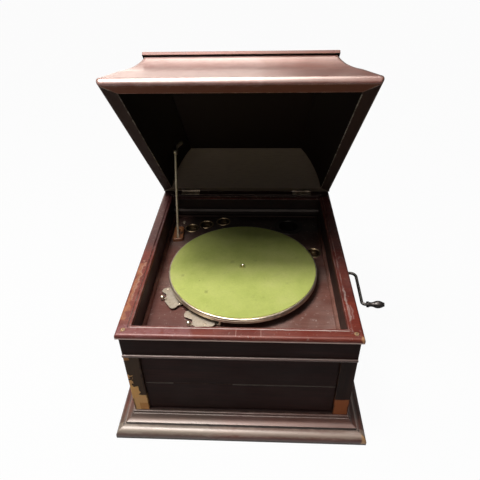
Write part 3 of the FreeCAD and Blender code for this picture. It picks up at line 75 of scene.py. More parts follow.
# Lamps by place, aim, width and height in metres, by power in watts, and whether they light faces.
# The box and the cloth overhead throw the lid's soft shadow on the felt. The panels only show in the varnish.
LAMPS = [
    ("overhead_box", (-0.384, -0.234, 1.78), (-0.384, -0.234, 0), 0.49, 0.23, 14.5, True),
    ("overhead_cloth", (-0.6, -0.36, 1.8), (-0.6, -0.36, 0), 0.8, 0.6, 13.5, True),
    ("back_panel", (-0.47, 1.4, 0.75), (-0.1, 0, 0.6), 1.25, 1.0, 12, False),
    ("top_panel", (-0.3, 0.0, 2.2), (-0.1, -0.1, 0.0), 2.0, 1.0, 155, False),
    ("front_panel", (-0.3, -1.5, 2.4), (0, 0, 0.2), 2.4, 1.2, 52, False),
    ("front_fill", (-1.2, -2.4, 0.35), (0, 0, 0.2), 1.6, 1.2, 5, True),
]
# The panels are warm, so the varnish shines warm.
PANEL_TINT = (1.0, 0.87, 0.78)
# How strongly the room lights the object, and how much of plain white the floor shows the camera.
ROOM_GLOW = 0.062
FLOOR_GLOW = 0.965
# The floor's radius, in metres.
FLOOR_RADIUS = 9.0

# The sockets of a Mix node for colours: its share, the colour below, the colour laid over it, and its result.
SHARE, UNDER, OVER, MIXED = 0, 6, 7, 2
# How many rays look for an edge that is to be eased.
EDGE_SAMPLES = 6


# Small tools

def paint(code):
    """An sRGB hex colour as linear RGBA."""
    parts = [int(code[i:i + 2], 16) / 255 for i in (1, 3, 5)]
    return tuple(c / 12.92 if c <= 0.04045 else ((c + 0.055) / 1.055) ** 2.4 for c in parts) + (1.0,)


def add(tree, kind, inputs=(), out=0, stops=(), **settings):
    """Add a node with its settings, its inputs as values or links, and its colour stops. Give one output
    back. A Map Range node's inputs 0 to 4 are its value, the range it comes from and the range it goes to."""
    node = tree.nodes.new(kind)
    for name, value in settings.items():
        setattr(node, name, value)
    for key, value in dict(inputs).items():
        if isinstance(value, bpy.types.NodeSocket):
            tree.links.new(value, node.inputs[key])
        else:
            node.inputs[key].default_value = paint(value) if str(value).startswith("#") else value
    for i, (place, colour) in enumerate(stops):
        elements = node.color_ramp.elements
        element = elements[i] if i < 2 else elements.new(place)
        element.position = place
        element.color = paint(colour)
    return node.outputs[out] if len(node.outputs) else node


def begin(name):
    """An empty material and its node tree, with the place on the object in metres."""
    material = bpy.data.materials.new(name)
    material.use_nodes = True
    tree = material.node_tree
    tree.nodes.clear()
    return material, tree, add(tree, "ShaderNodeTexCoord", out="Object")


def close(material, shader):
    """Lead a shader to the material's output."""
    add(material.node_tree, "ShaderNodeOutputMaterial", {"Surface": shader})
    return material


def grain_scale(axis, length, width):
    """How much to stretch a pattern so that it runs length millimetres along an axis and width across it."""
    return tuple(1 / (MM * (length if letter == axis else width)) for letter in "xyz")


def patch(tree, place, centre, half, soft, ragged):
    """A mask of 1 inside a box given in millimetres, with a soft and ragged edge."""
    wander = add(tree, "ShaderNodeTexNoise", {"Vector": place, "Scale": 1 / (MM * 14), "Detail": 3},
                 out="Color")
    wander = add(tree, "ShaderNodeVectorMath", {0: wander, 1: (0.5, 0.5, 0.5)}, operation="SUBTRACT")
    wander = add(tree, "ShaderNodeVectorMath", {0: wander, "Scale": 2 * ragged * MM}, operation="SCALE")
    off = add(tree, "ShaderNodeVectorMath", {0: place, 1: wander}, operation="ADD")
    off = add(tree, "ShaderNodeVectorMath", {0: off, 1: [c * MM for c in centre]}, operation="SUBTRACT")
    off = add(tree, "ShaderNodeVectorMath", {0: off}, operation="ABSOLUTE")
    inside = add(tree, "ShaderNodeVectorMath", {0: [h * MM for h in half], 1: off}, operation="SUBTRACT")
    x, y, z = add(tree, "ShaderNodeSeparateXYZ", {0: inside}).node.outputs
    least = add(tree, "ShaderNodeMath", {0: x, 1: y}, operation="MINIMUM")
    least = add(tree, "ShaderNodeMath", {0: least, 1: z}, operation="MINIMUM")
    return add(tree, "ShaderNodeMapRange", {0: least, 1: 0.0, 2: soft * MM, 3: 0.0, 4: 1.0})


def lay_marks(tree, place, colour, marks, pits=None):
    """Lay patches of wear, stain, painted shade and painted highlight over a colour in turn; wood pits show
    through.
    """
    for centre, half, soft, ragged, strength, shade in marks:
        mask = patch(tree, place, centre, half, soft, ragged)
        mask = add(tree, "ShaderNodeMath", {0: mask, 1: strength}, operation="MULTIPLY")
        if pits is not None:
            shade = add(tree, "ShaderNodeMix", {SHARE: 0.5, UNDER: shade, OVER: pits}, out=MIXED,
                        data_type="RGBA", blend_type="MULTIPLY")
        colour = add(tree, "ShaderNodeMix", {SHARE: mask, UNDER: colour, OVER: shade}, out=MIXED,
                     data_type="RGBA")
    return colour


def facing(tree, way, stops):
    """A shade for each face by how it looks along one way of its body, from away (0) to along (1)."""
    normal = add(tree, "ShaderNodeTexCoord", out="Normal")
    along = add(tree, "ShaderNodeVectorMath", {0: normal, 1: way}, out=1, operation="DOT_PRODUCT")
    along = add(tree, "ShaderNodeMath", {0: along, 1: 0.5, 2: 0.5}, operation="MULTIPLY_ADD")
    return add(tree, "ShaderNodeValToRGB", {0: along}, stops=stops)


def under_lid(tree, place):
    """Masks of the lid's faces that are seen from below it, and of the lowest few millimetres of the lid."""
    normal = add(tree, "ShaderNodeTexCoord", out="Normal")
    middle = [c * MM for c in LID_MIDDLE]
    away = add(tree, "ShaderNodeVectorMath", {0: place, 1: middle}, operation="SUBTRACT")
    outward = add(tree, "ShaderNodeVectorMath", {0: normal, 1: away}, out=1, operation="DOT_PRODUCT")
    below = add(tree, "ShaderNodeMapRange", {0: outward, 1: -5 * MM, 2: 5 * MM, 3: 1.0, 4: 0.0})
    up = add(tree, "ShaderNodeVectorMath", {0: place, 1: LID_UP}, out=1, operation="DOT_PRODUCT")
    low = add(tree, "ShaderNodeMapRange",
              {0: up, 1: (LID_EDGE + 3) * MM, 2: (LID_EDGE + 6) * MM, 3: 1.0, 4: 0.0})
    return below, low


def rubbed_edges(tree, place, eased, wear):
    """A broken mask of the edges that hands have rubbed, found where an eased normal leaves the flat one."""
    flat = add(tree, "ShaderNodeNewGeometry", out="Normal")
    agree = add(tree, "ShaderNodeVectorMath", {0: eased, 1: flat}, out=1, operation="DOT_PRODUCT")
    edge = add(tree, "ShaderNodeMapRange", {0: agree, 1: 0.995, 2: 0.86, 3: 0.0, 4: 1.0})
    broken = add(tree, "ShaderNodeTexNoise",
                 {"Vector": place, "Scale": 1 / (MM * 16), "Detail": 5, "Roughness": 0.65})
    broken = add(tree, "ShaderNodeMapRange", {0: broken, 1: 0.4, 2: 0.62, 3: 0.15, 4: 1.0})
    rubbed = add(tree, "ShaderNodeMath", {0: edge, 1: broken}, operation="MULTIPLY")
    return add(tree, "ShaderNodeMath", {0: rubbed, 1: wear}, operation="MULTIPLY")


# Materials

def mahogany(name, axis, grain, rough, coat, worn, wear, shine=0.5, turn=0.0, marks=(), grey=0.0, dust=0.0,
             shades=(), skin=0.28, reach=2.2):
    """Quarter-sawn mahogany under old spirit varnish: ribbon figure and pores along the grain, a skin of
    varnish that has worn through along the edges, a grey bloom where it has gone dull, and specks of dust.
    The lid's wood has shades as well: what is seen from below is dull, with painted shade by the way it
    faces."""
    material, tree, place = begin(name)
    board = add(tree, "ShaderNodeMapping", {"Vector": place, "Rotation": (turn, 0, 0)})
    layers = []
    # The pores are about 0.3 mm wide on the real wood and are drawn wider so that they show at all.
    for length, width, detail in ((260, 40, 3), (80, 4, 4), (22, 1.2, 2)):
        stretched = add(tree, "ShaderNodeVectorMath",
                        {0: board, 1: grain_scale(axis, length, width)}, operation="MULTIPLY")
        layers.append(add(tree, "ShaderNodeTexNoise", {
            "Vector": stretched, "Scale": 1.0, "Detail": detail, "Roughness": 0.6, "Distortion": 0.4}))
    figure, ribbon, pores = layers
    tone = add(tree, "ShaderNodeMath", {0: figure, 1: 0.55}, operation="MULTIPLY")
    tone = add(tree, "ShaderNodeMath", {0: ribbon, 1: 0.45, 2: tone}, operation="MULTIPLY_ADD")
    colour = add(tree, "ShaderNodeValToRGB", {0: tone}, stops=zip((0.3, 0.5, 0.7), grain))
    pits = add(tree, "ShaderNodeMapRange", {0: pores, 1: 0.34, 2: 0.5, 3: 0.86, 4: 1.0})
    colour = add(tree, "ShaderNodeMix", {SHARE: 1.0, UNDER: colour, OVER: pits}, out=MIXED,
                 data_type="RGBA", blend_type="MULTIPLY")
    bloom = add(tree, "ShaderNodeTexNoise",
                {"Vector": place, "Scale": 1 / (MM * 70), "Detail": 4, "Roughness": 0.6})
    dull = add(tree, "ShaderNodeMapRange", {0: bloom, 1: 0.42, 2: 0.66, 3: 0.0, 4: grey})
    colour = add(tree, "ShaderNodeMix", {SHARE: dull, UNDER: colour, OVER: "#a08d84"}, out=MIXED,
                 data_type="RGBA")
    eased = add(tree, "ShaderNodeBevel", {"Radius": reach * MM}, samples=EDGE_SAMPLES)
    rubbed = rubbed_edges(tree, place, eased, wear)
    if shades:
        below, low = under_lid(tree, place)
        # Painted shade: faces seen from below take a darker colour by the way they face.
        under_shade = facing(tree, LID_UP, shades)
        under_shade = add(tree, "ShaderNodeMix", {SHARE: 1.0, UNDER: under_shade, OVER: pits}, out=MIXED,
                    data_type="RGBA", blend_type="MULTIPLY")
        colour = add(tree, "ShaderNodeMix", {SHARE: below, UNDER: colour, OVER: under_shade}, out=MIXED,
                     data_type="RGBA")
        kept = add(tree, "ShaderNodeMath", {0: 1.0, 1: below}, operation="SUBTRACT")
        kept = add(tree, "ShaderNodeMath", {0: kept, 1: low}, operation="MAXIMUM")
        rubbed = add(tree, "ShaderNodeMath", {0: rubbed, 1: kept}, operation="MULTIPLY")
    colour = add(tree, "ShaderNodeMix", {SHARE: rubbed, UNDER: colour, OVER: worn}, out=MIXED,
                 data_type="RGBA")
    colour = lay_marks(tree, place, colour, marks, pits)
    if dust:
        specks = add(tree, "ShaderNodeTexNoise",
                     {"Vector": place, "Scale": 1 / (MM * 6), "Detail": 5, "Roughness": 0.75})
        specks = add(tree, "ShaderNodeMapRange", {0: specks, 1: 0.6, 2: 0.7, 3: 0.0, 4: dust})
        colour = add(tree, "ShaderNodeMix", {SHARE: specks, UNDER: colour, OVER: "#d6c6bc"}, out=MIXED,
                     data_type="RGBA")
    gloss = add(tree, "ShaderNodeMapRange", {0: bloom, 1: 0.3, 2: 0.7, 3: rough - 0.07, 4: rough + 0.12})
    gloss = add(tree, "ShaderNodeMath", {0: rubbed, 1: 0.25, 2: gloss}, operation="MULTIPLY_ADD",
                use_clamp=True)
    height = add(tree, "ShaderNodeMath", {0: pores, 1: 0.4, 2: ribbon}, operation="MULTIPLY_ADD")
    normal = add(tree, "ShaderNodeBump",
                 {"Strength": 0.06, "Distance": 0.4 * MM, "Height": height, "Normal": eased})
    shader = add(tree, "ShaderNodeBsdfPrincipled", {
        "Base Color": colour, "Roughness": gloss, "Normal": normal, "Coat Normal": eased, "IOR": 1.5,
        "Specular IOR Level": shine, "Coat Weight": coat, "Coat Roughness": skin})
    if shades:
        dulled = add(tree, "ShaderNodeBsdfPrincipled", {
            "Base Color": colour, "Roughness": 0.7, "Normal": normal, "IOR": 1.5, "Specular IOR Level": 0.1})
        shader = add(tree, "ShaderNodeMixShader", {0: below, 1: shader, 2: dulled})
    return close(material, shader)


def plated(name, bright, dull, spot, rough, cover, metal=1.0, marks=()):
    """Pressed steel under worn nickel plate: a soft yellowish shine, clouded with tarnish and dotted with
    rust that has come through."""
    material, tree, place = begin(name)
    cloud = add(tree, "ShaderNodeTexNoise",
                {"Vector": place, "Scale": 1 / (MM * 22), "Detail": 6, "Roughness": 0.62})
    colour = add(tree, "ShaderNodeValToRGB", {0: cloud}, stops=((0.38, dull), (0.6, bright)))
    dots = add(tree, "ShaderNodeTexNoise",
               {"Vector": place, "Scale": 1 / (MM * 5), "Detail": 4, "Roughness": 0.7})
    dots = add(tree, "ShaderNodeMapRange", {0: dots, 1: 0.6, 2: 0.7, 3: 0.0, 4: cover})
    colour = add(tree, "ShaderNodeMix", {SHARE: dots, UNDER: colour, OVER: spot}, out=MIXED,
                 data_type="RGBA")
    colour = lay_marks(tree, place, colour, marks)
    gloss = add(tree, "ShaderNodeMapRange", {0: cloud, 1: 0.35, 2: 0.65, 3: rough + 0.16, 4: rough - 0.06})
    gloss = add(tree, "ShaderNodeMath", {0: dots, 1: 0.3, 2: gloss}, operation="MULTIPLY_ADD",
                use_clamp=True)
    eased = add(tree, "ShaderNodeBevel", {"Radius": 0.8 * MM}, samples=EDGE_SAMPLES)
    scratch = add(tree, "ShaderNodeTexNoise",
                  {"Vector": place, "Scale": 1 / (MM * 2.5), "Detail": 5, "Roughness": 0.7})
    normal = add(tree, "ShaderNodeBump",
                 {"Strength": 0.12, "Distance": 0.2 * MM, "Height": scratch, "Normal": eased})
    return close(material, add(tree, "ShaderNodeBsdfPrincipled", {
        "Base Color": colour, "Metallic": metal, "Roughness": gloss, "Normal": normal}))


def japanned(name, body, bloom, bare, rough, wear):
    """A thin stoved or stained black skin with a dusty bloom, rubbed to what is under it at the edges."""
    material, tree, place = begin(name)
    cloud = add(tree, "ShaderNodeTexNoise",
                {"Vector": place, "Scale": 1 / (MM * 18), "Detail": 5, "Roughness": 0.6})
    colour = add(tree, "ShaderNodeValToRGB", {0: cloud}, stops=((0.42, body), (0.72, bloom)))
    eased = add(tree, "ShaderNodeBevel", {"Radius": 0.9 * MM}, samples=EDGE_SAMPLES)
    rubbed = rubbed_edges(tree, place, eased, wear)
    colour = add(tree, "ShaderNodeMix", {SHARE: rubbed, UNDER: colour, OVER: bare}, out=MIXED,
                 data_type="RGBA")
    gloss = add(tree, "ShaderNodeMapRange", {0: cloud, 1: 0.3, 2: 0.7, 3: rough - 0.08, 4: rough + 0.14})
    brush = add(tree, "ShaderNodeTexNoise", {"Vector": place, "Scale": 1 / (MM * 3), "Detail": 4})
    normal = add(tree, "ShaderNodeBump",
                 {"Strength": 0.15, "Distance": 0.3 * MM, "Height": brush, "Normal": eased})
    return close(material, add(tree, "ShaderNodeBsdfPrincipled", {
        "Base Color": colour, "Roughness": gloss, "Normal": normal, "IOR": 1.5}))


def felted(name):
    """Wool felt, once green and now faded to yellow: matted fibres, a soft sheen at a low angle, a mottled
    fade and a few small dark stains where oil has dripped."""
    material, tree, place = begin(name)
    fade = add(tree, "ShaderNodeTexNoise",
               {"Vector": place, "Scale": 1 / (MM * 90), "Detail": 4, "Roughness": 0.6})
    colour = add(tree, "ShaderNodeValToRGB", {0: fade},
                 stops=((0.35, "#bec868"), (0.5, "#c9d172"), (0.68, "#d2d67e")))
    # Real fibres are 0.02 mm wide. They are drawn as 3 mm tufts, which a picture of this size can hold.
    tufts = add(tree, "ShaderNodeTexNoise",
                {"Vector": place, "Scale": 1 / (MM * 3), "Detail": 5, "Roughness": 0.75})
    nap = add(tree, "ShaderNodeMapRange", {0: tufts, 1: 0.3, 2: 0.7, 3: 0.92, 4: 1.05})
    colour = add(tree, "ShaderNodeMix", {SHARE: 1.0, UNDER: colour, OVER: nap}, out=MIXED,
                 data_type="RGBA", blend_type="MULTIPLY")
    grime = add(tree, "ShaderNodeTexNoise",
                {"Vector": place, "Scale": 1 / (MM * 17), "Detail": 5, "Roughness": 0.7})
    grime = add(tree, "ShaderNodeMapRange", {0: grime, 1: 0.6, 2: 0.74, 3: 0.0, 4: 0.3})
    colour = add(tree, "ShaderNodeMix", {SHARE: grime, UNDER: colour, OVER: "#8f9351"}, out=MIXED,
                 data_type="RGBA")
    stains = [((x, y, FELT_TOP), (reach, reach, 20), 0.7 * reach, 0.6 * reach, strength, "#5e5f33")
              for x, y, reach, strength in FELT_STAINS]
    colour = lay_marks(tree, place, colour, stains)
    normal = add(tree, "ShaderNodeBump", {"Strength": 0.3, "Distance": 0.4 * MM, "Height": tufts})
    return close(material, add(tree, "ShaderNodeBsdfPrincipled", {
        "Base Color": colour, "Roughness": 0.95, "Normal": normal, "Specular IOR Level": 0.1,
        "Sheen Weight": 0.12, "Sheen Roughness": 0.5, "Sheen Tint": "#d8dca0"}))


def deal(name, axis, grain):
    """Plain softwood, planed and left bare inside the case: pale bands of growth with a dry, dull surface."""
    material, tree, place = begin(name)
    layers = []
    for length, width in ((300, 14), (60, 2.5)):
        stretched = add(tree, "ShaderNodeVectorMath",
                        {0: place, 1: grain_scale(axis, length, width)}, operation="MULTIPLY")
        layers.append(add(tree, "ShaderNodeTexNoise",
                          {"Vector": stretched, "Scale": 1.0, "Detail": 3, "Roughness": 0.55}))
    bands, fibres = layers
    tone = add(tree, "ShaderNodeMath", {0: bands, 1: fibres}, operation="ADD")
    tone = add(tree, "ShaderNodeMath", {0: tone, 1: 0.5}, operation="MULTIPLY")
    colour = add(tree, "ShaderNodeValToRGB", {0: tone}, stops=zip((0.38, 0.5, 0.62), grain))
    dirt = add(tree, "ShaderNodeTexNoise",
               {"Vector": place, "Scale": 1 / (MM * 60), "Detail": 5, "Roughness": 0.65})
    dirt = add(tree, "ShaderNodeMapRange", {0: dirt, 1: 0.45, 2: 0.7, 3: 0.0, 4: 0.55})
    colour = add(tree, "ShaderNodeMix", {SHARE: dirt, UNDER: colour, OVER: grain[0]}, out=MIXED,
                 data_type="RGBA")
    normal = add(tree, "ShaderNodeBump", {"Strength": 0.3, "Distance": 0.5 * MM, "Height": fibres})
    return close(material, add(tree, "ShaderNodeBsdfPrincipled", {
        "Base Color": colour, "Roughness": 0.75, "Normal": normal, "Specular IOR Level": 0.3}))


def machined(name, bright, dull, rough):
    """Motor metal as it left the lathe: fine turning marks under a cloudy film of old oil."""
    material, tree, place = begin(name)
    film = add(tree, "ShaderNodeTexNoise",
               {"Vector": place, "Scale": 1 / (MM * 12), "Detail": 5, "Roughness": 0.6})
    colour = add(tree, "ShaderNodeValToRGB", {0: film}, stops=((0.38, dull), (0.62, bright)))
    # Turning marks are about 0.1 mm apart and are drawn wider so that they show at all.
    marks = add(tree, "ShaderNodeTexWave",
                {"Vector": place, "Scale": 1 / (MM * 5), "Distortion": 6.0, "Detail": 3},
                out="Fac", bands_direction="Z")
    gloss = add(tree, "ShaderNodeMapRange", {0: film, 1: 0.35, 2: 0.65, 3: rough + 0.12, 4: rough - 0.05})
    eased = add(tree, "ShaderNodeBevel", {"Radius": 0.6 * MM}, samples=EDGE_SAMPLES)
    normal = add(tree, "ShaderNodeBump",
                 {"Strength": 0.08, "Distance": 0.2 * MM, "Height": marks, "Normal": eased})
    return close(material, add(tree, "ShaderNodeBsdfPrincipled", {
        "Base Color": colour, "Metallic": 1.0, "Roughness": gloss, "Normal": normal}))


def studio_floor(name):
    """A pale sweep of card: almost white to the camera, with a trace of the object's soft shadow."""
    material, tree, place = begin(name)
    card = add(tree, "ShaderNodeTexNoise", {"Vector": place, "Scale": 2.0, "Detail": 2})
    colour = add(tree, "ShaderNodeValToRGB", {0: card}, stops=((0.3, "#d9d8d6"), (0.7, "#dedddb")))
    shade = add(tree, "ShaderNodeBsdfDiffuse", {"Color": colour})
    glow = add(tree, "ShaderNodeEmission", {"Color": "#ffffff", "Strength": 1.0})
    rays = add(tree, "ShaderNodeLightPath").node.outputs
    seen = add(tree, "ShaderNodeMath", {0: rays["Is Camera Ray"], 1: rays["Is Transmission Ray"]},
               operation="MAXIMUM")
    seen = add(tree, "ShaderNodeMath", {0: seen, 1: FLOOR_GLOW}, operation="MULTIPLY")
    return close(material, add(tree, "ShaderNodeMixShader", {0: seen, 1: shade, 2: glow}))


# Marks of use, and marks of painted shade and highlight. A felt stain is given by its place, its reach and
# its strength. Any other mark is given by the middle and half the size of its box, how soft and how ragged
# its edge is, its strength and its colour.
FELT_STAINS = [
    (0, -18, 7, 0.8), (-68, -98, 5, 0.4), (-84, -66, 2, 0.4), (-22, -4, 6, 0.2), (42, -112, 3, 0.12),
    (88, -70, 4, 0.12), (18, 52, 5, 0.15), (-120, -50, 4, 0.25), (112, 12, 3.5, 0.12),
]
# The feet of the posts are bare wood, and the left post has lost much of its veneer.
POST_MARKS = [
    ((-186, -239, 64), (14, 6, 24), 3, 3, 0.97, "#f2ba78"),
    ((186, -239, 64), (14, 6, 24), 3, 3, 0.95, "#9a5630"),
    ((-190, -239, 118), (18, 6, 76), 4, 6, 0.3, "#6a5640"),
    ((-200, -236, 110), (6, 9, 34), 1, 14, 0.95, "#d09a60"),
    ((-196, -236, 96), (10, 9, 16), 1, 14, 0.95, "#d8a464"),
    ((-181, -239, 52), (8.5, 6, 11), 1, 1, 0.7, "#b47840"),
    ((-199, -236, 187), (9, 9, 5), 1.5, 3, 0.9, "#a87444"),
    ((-203, -236, 160), (2.5, 9, 30), 1, 2, 0.8, "#8a5c34"),
]
# Light catches the two tone leaves where they meet.
LEAF_LINES = [
    ((-145, -236, 118), (25, 4, 1.3), 0.8, 0.3, 0.6, "#8a8278"),
    ((80, -236, 118), (93, 4, 1.3), 0.8, 0.3, 0.6, "#8a8278"),
]
# The back of the rim, its right side and the back of its left side are darkened with painted shade. The front
# has cracks, bare wood and rubbed edges, and painted highlight lines along its inner lip and its lower front
# edge.
RIM_WEAR_AND_PAINTED_LIGHT = [
    # Painted shade on the back, on the right side and on the back of the left side.
    ((0, 236, CASE_TOP), (215, 22, 12), 6, 4, 0.85, "#150b08"),
    ((193, 60, CASE_TOP), (40, 220, 20), 30, 8, 0.62, "#2c0f10"),
    ((-193, 150, CASE_TOP), (90, 170, 60), 40, 8, 0.7, "#34161c"),
    ((-4, -233, CASE_TOP), (0.9, 8, 6), 0.8, 1.0, 0.5, "#d0a698"),
    ((37, -233, CASE_TOP), (0.9, 8, 6), 0.8, 1.0, 0.5, "#d0a698"),
    ((-199, -130, CASE_TOP), (5, 80, 6), 4, 13, 0.6, "#bc7c50"),
    ((-194, -100, CASE_TOP), (3, 60, 6), 3, 13, 0.5, "#d0a488"),
    ((-150, -233, CASE_TOP), (75, 14, 6), 14, 8, 0.5, "#b8949c"),
    ((188, -160, CASE_TOP), (2.5, 40, 6), 2, 6, 0.4, "#cdbab0"),
    ((193, -180, CASE_TOP), (2, 18, 6), 2, 5, 0.35, "#c8b0a6"),
    ((203, -243, 244), (6, 6, 9), 2, 8, 0.9, "#c89060"),
    # Painted highlight lines along the inner lip and along the lower front edge.
    ((0, -224, CASE_TOP), (182, 1.7, 3), 0.7, 1.2, 0.75, "#f0dcd2"),
    ((0, -243.5, 240.9), (206, 4, 1.5), 0.5, 0.7, 0.8, "#e4c8bc"),
]
# The board is redder by the levers, and darkened at the back with painted shade.
BOARD_STAIN_AND_SHADE = [
    ((-140, -130, 190), (70, 80, 60), 40, 10, 0.55, "#5c2722"),
    # Painted shade at the back, under the lid.
    ((40, 190, 190), (260, 120, 150), 90, 8, 0.9, "#120b08"),
]
# The rims of the needle cups, which stand above the board, have a paler painted highlight.
CUP_RIM_GLINT = [((0, 0, 191.6), (250, 250, 1.4), 0.3, 0, 0.85, "#8e8068")]
# The plinth has a painted olive-grey sheen on the left and a painted highlight on top of its base. Its foot
# is dark red, its cove has painted shade, its groove a painted shadow line and its edge along the floor a
# painted contact shadow, and one corner is chipped.
PLINTH_WEAR_AND_PAINTED_LIGHT = [
    # A painted olive-grey sheen on the left.
    ((-150, -262, 22), (130, 60, 90), 60, 10, 0.5, "#706a5a"),
    # A painted highlight on top of the base.
    ((0, -263, 17), (236, 10, 5), 3, 2, 0.45, "#b8aa98"),
    ((0, -272, 4), (250, 5, 10), 4, 2, 0.65, "#48201a"),
    # Painted shade on the upper cove.
    ((0, -247, 40), (240, 12, 14), 6, 3, 0.35, "#2c1a14"),
    # A painted shadow line in the groove, on three sides.
    ((0, -256.5, 22.5), (226, 1.3, 2.9), 0.5, 0.3, 0.92, "#1a100c"),
    ((-221.5, 0, 22.5), (1.3, 260, 2.9), 0.5, 0.3, 0.92, "#1a100c"),
    ((221.5, 0, 22.5), (1.3, 260, 2.9), 0.5, 0.3, 0.92, "#1a100c"),
    # A painted contact shadow along the floor.
    ((0, 0, 0), (400, 400, 7), 4, 1, 0.9, "#1c100c"),
    ((231, -270, 11), (7, 7, 9), 2, 3, 0.95, "#b88a58"),
]
# The front of the lid is bleached and dusty, and a painted sheen lightens it, most of all on the left.
LID_BLEACH_AND_SHEEN = [
    ((0, -30, 645), (215, 60, 42), 22, 6, 0.16, "#c2a298"),
    # A painted sheen, strongest on the left.
    ((-90, -30, 645), (130, 60, 42), 30, 10, 0.42, "#c6aeaa"),
]
# The lid's painted shade below, from its flat under edge to its darker hollow. The inner back is paler, a
# painted dull sheen, and the ceiling is near black.
LID_SHADES = ((0.0, "#663c2c"), (0.012, "#663c2c"), (0.04, "#1e110c"), (1.0, "#1e110c"))
SIDE_SHADES = ((0.0, "#2e1c15"), (0.012, "#2e1c15"), (0.04, "#140b08"), (1.0, "#140b08"))
BACK_SHADES = ((0.0, "#746558"), (1.0, "#746558"))
CEILING_SHADES = ((0.0, "#170d09"), (1.0, "#170d09"))
LID_GRAIN = ("#4a1c11", "#6e3020", "#864632")

front_wood = mahogany(
    "Varnished mahogany, case front", "x", ("#1a0b09", "#26110e", "#331814"), rough=0.5, coat=0.0,
    worn="#7a5c4c", wear=0.6, shine=0.1, marks=LEAF_LINES)
bead_wood = mahogany(
    "Rubbed mahogany, bead", "x", ("#4c332c", "#624740", "#7a5e56"), rough=0.42, coat=0.4,
    worn="#b09690", wear=0.6)
post_wood = mahogany(
    "Varnished mahogany, front posts", "z", ("#170b08", "#24120d", "#301911"), rough=0.5, coat=0.0,
    worn="#6a4830", wear=0.6, shine=0.1, marks=POST_MARKS)
side_wood = mahogany(
    "Varnished mahogany, case sides", "y", ("#140a07", "#24120c", "#331a11"), rough=0.45, coat=0.1,
    worn="#5a3a2a", wear=0.5, shine=0.3)
rim_wood = mahogany(
    "Worn red mahogany, rim", "x", ("#571509", "#762414", "#8a3822"), rough=0.46, coat=0.12,
    worn="#e0bcb0", wear=0.6, shine=0.2, marks=RIM_WEAR_AND_PAINTED_LIGHT, grey=0.12, dust=0.3, reach=2.8)
plinth_wood = mahogany(
    "Varnished mahogany, plinth", "x", ("#52261c", "#683628", "#7a4636"), rough=0.48, coat=0.7,
    worn="#cdb9ad", wear=0.7, shine=0.3, marks=PLINTH_WEAR_AND_PAINTED_LIGHT, grey=0.12, skin=0.36)
lid_front_wood = mahogany(
    "Varnished mahogany, lid mouldings", "x", LID_GRAIN, rough=0.4, coat=0.9, worn="#c9a08c", wear=0.55,
    turn=LID_OPEN, marks=LID_BLEACH_AND_SHEEN, grey=0.15, shades=LID_SHADES, skin=0.36, reach=4.5)
lid_back_wood = mahogany(
    "Varnished mahogany, lid back", "x", LID_GRAIN, rough=0.4, coat=0.9, worn="#c9a08c", wear=0.3,
    turn=LID_OPEN, grey=0.15, shades=BACK_SHADES, skin=0.36)
lid_panel_wood = mahogany(
    "Varnished mahogany, lid panel", "x", LID_GRAIN, rough=0.5, coat=0.1, worn="#c09468", wear=0.4,
    shine=0.2, turn=LID_OPEN, grey=0.15, shades=CEILING_SHADES, skin=0.36)
lid_side_wood = mahogany(
    "Varnished mahogany, lid sides", "y", ("#2a120b", "#3c1c12", "#4c281b"), rough=0.42, coat=0.15,
    worn="#d8ccc0", wear=0.65, turn=LID_OPEN, grey=0.1, shades=SIDE_SHADES, reach=3.5)
board_wood = mahogany(
    "Stained mahogany, motor board", "x", ("#673e34", "#7e5146", "#906356"), rough=0.42, coat=0.2,
    worn="#8a6a58", wear=0.4, shine=0.4, marks=BOARD_STAIN_AND_SHADE, grey=0.3, dust=0.5)
trim_wood = mahogany(
    "Stained mahogany, board trim", "x", ("#6e473c", "#865c50", "#986e60"), rough=0.6, coat=0.0,
    worn="#8a6a58", wear=0.1, shine=0.06, marks=BOARD_STAIN_AND_SHADE, grey=0.1)
inside_wood = mahogany(
    "Stained mahogany, inner faces", "x", ("#140b08", "#20120d", "#2c1912"), rough=0.5, coat=0.05,
    worn="#33241c", wear=0.3, shine=0.25)
bare_wood = deal("Planed deal, bare", "y", ("#4a3322", "#6b4c33", "#82613f"))
nickel = plated("Worn nickel plate", "#cfc6b4", "#a2988a", "#5f4c3a", rough=0.34, cover=0.55)
plate_nickel = plated(
    "Dulled nickel sheet", "#b8ae9e", "#988e7e", "#665240", rough=0.46, cover=0.6, metal=0.45)
dull_nickel = plated("Clouded nickel plate", "#9a9184", "#6c645a", "#463527", rough=0.42, cover=0.7)
cup_nickel = plated(
    "Spun nickel, needle cups", "#5e5546", "#413a2e", "#2e261c", rough=0.32, cover=0.4, marks=CUP_RIM_GLINT)
rod_nickel = plated("Pale nickel rod", "#d8cbb0", "#b0a288", "#6a5640", rough=0.4, cover=0.3, metal=0.5)
bright_nickel = plated("Polished nickel", "#e4dccc", "#c4baa8", "#8a7a66", rough=0.14, cover=0.2)
felt_wool = felted("Faded green wool felt")
guide_wood = mahogany(
    "Orange stained beech", "z", ("#6a3b1b", "#8c5228", "#a26632"), rough=0.45, coat=0.1,
    worn="#c89660", wear=0.5)
peg_wood = mahogany(
    "Pale beech pegs", "z", ("#a87848", "#c49460", "#d4a878"), rough=0.5, coat=0.1, worn="#d8b48c", wear=0.4)
black_japan = japanned("Black japanned iron", "#0d0b0a", "#1e1a17", "#57504a", rough=0.36, wear=0.5)
ebonised = japanned("Ebonised beech", "#0c0908", "#1b1512", "#3a2a20", rough=0.4, wear=0.35)
motor_steel = machined("Oiled plain steel", "#9a9690", "#6c6862", rough=0.35)
cut_brass = machined("Machined brass", "#b99545", "#8a6c30", rough=0.32)

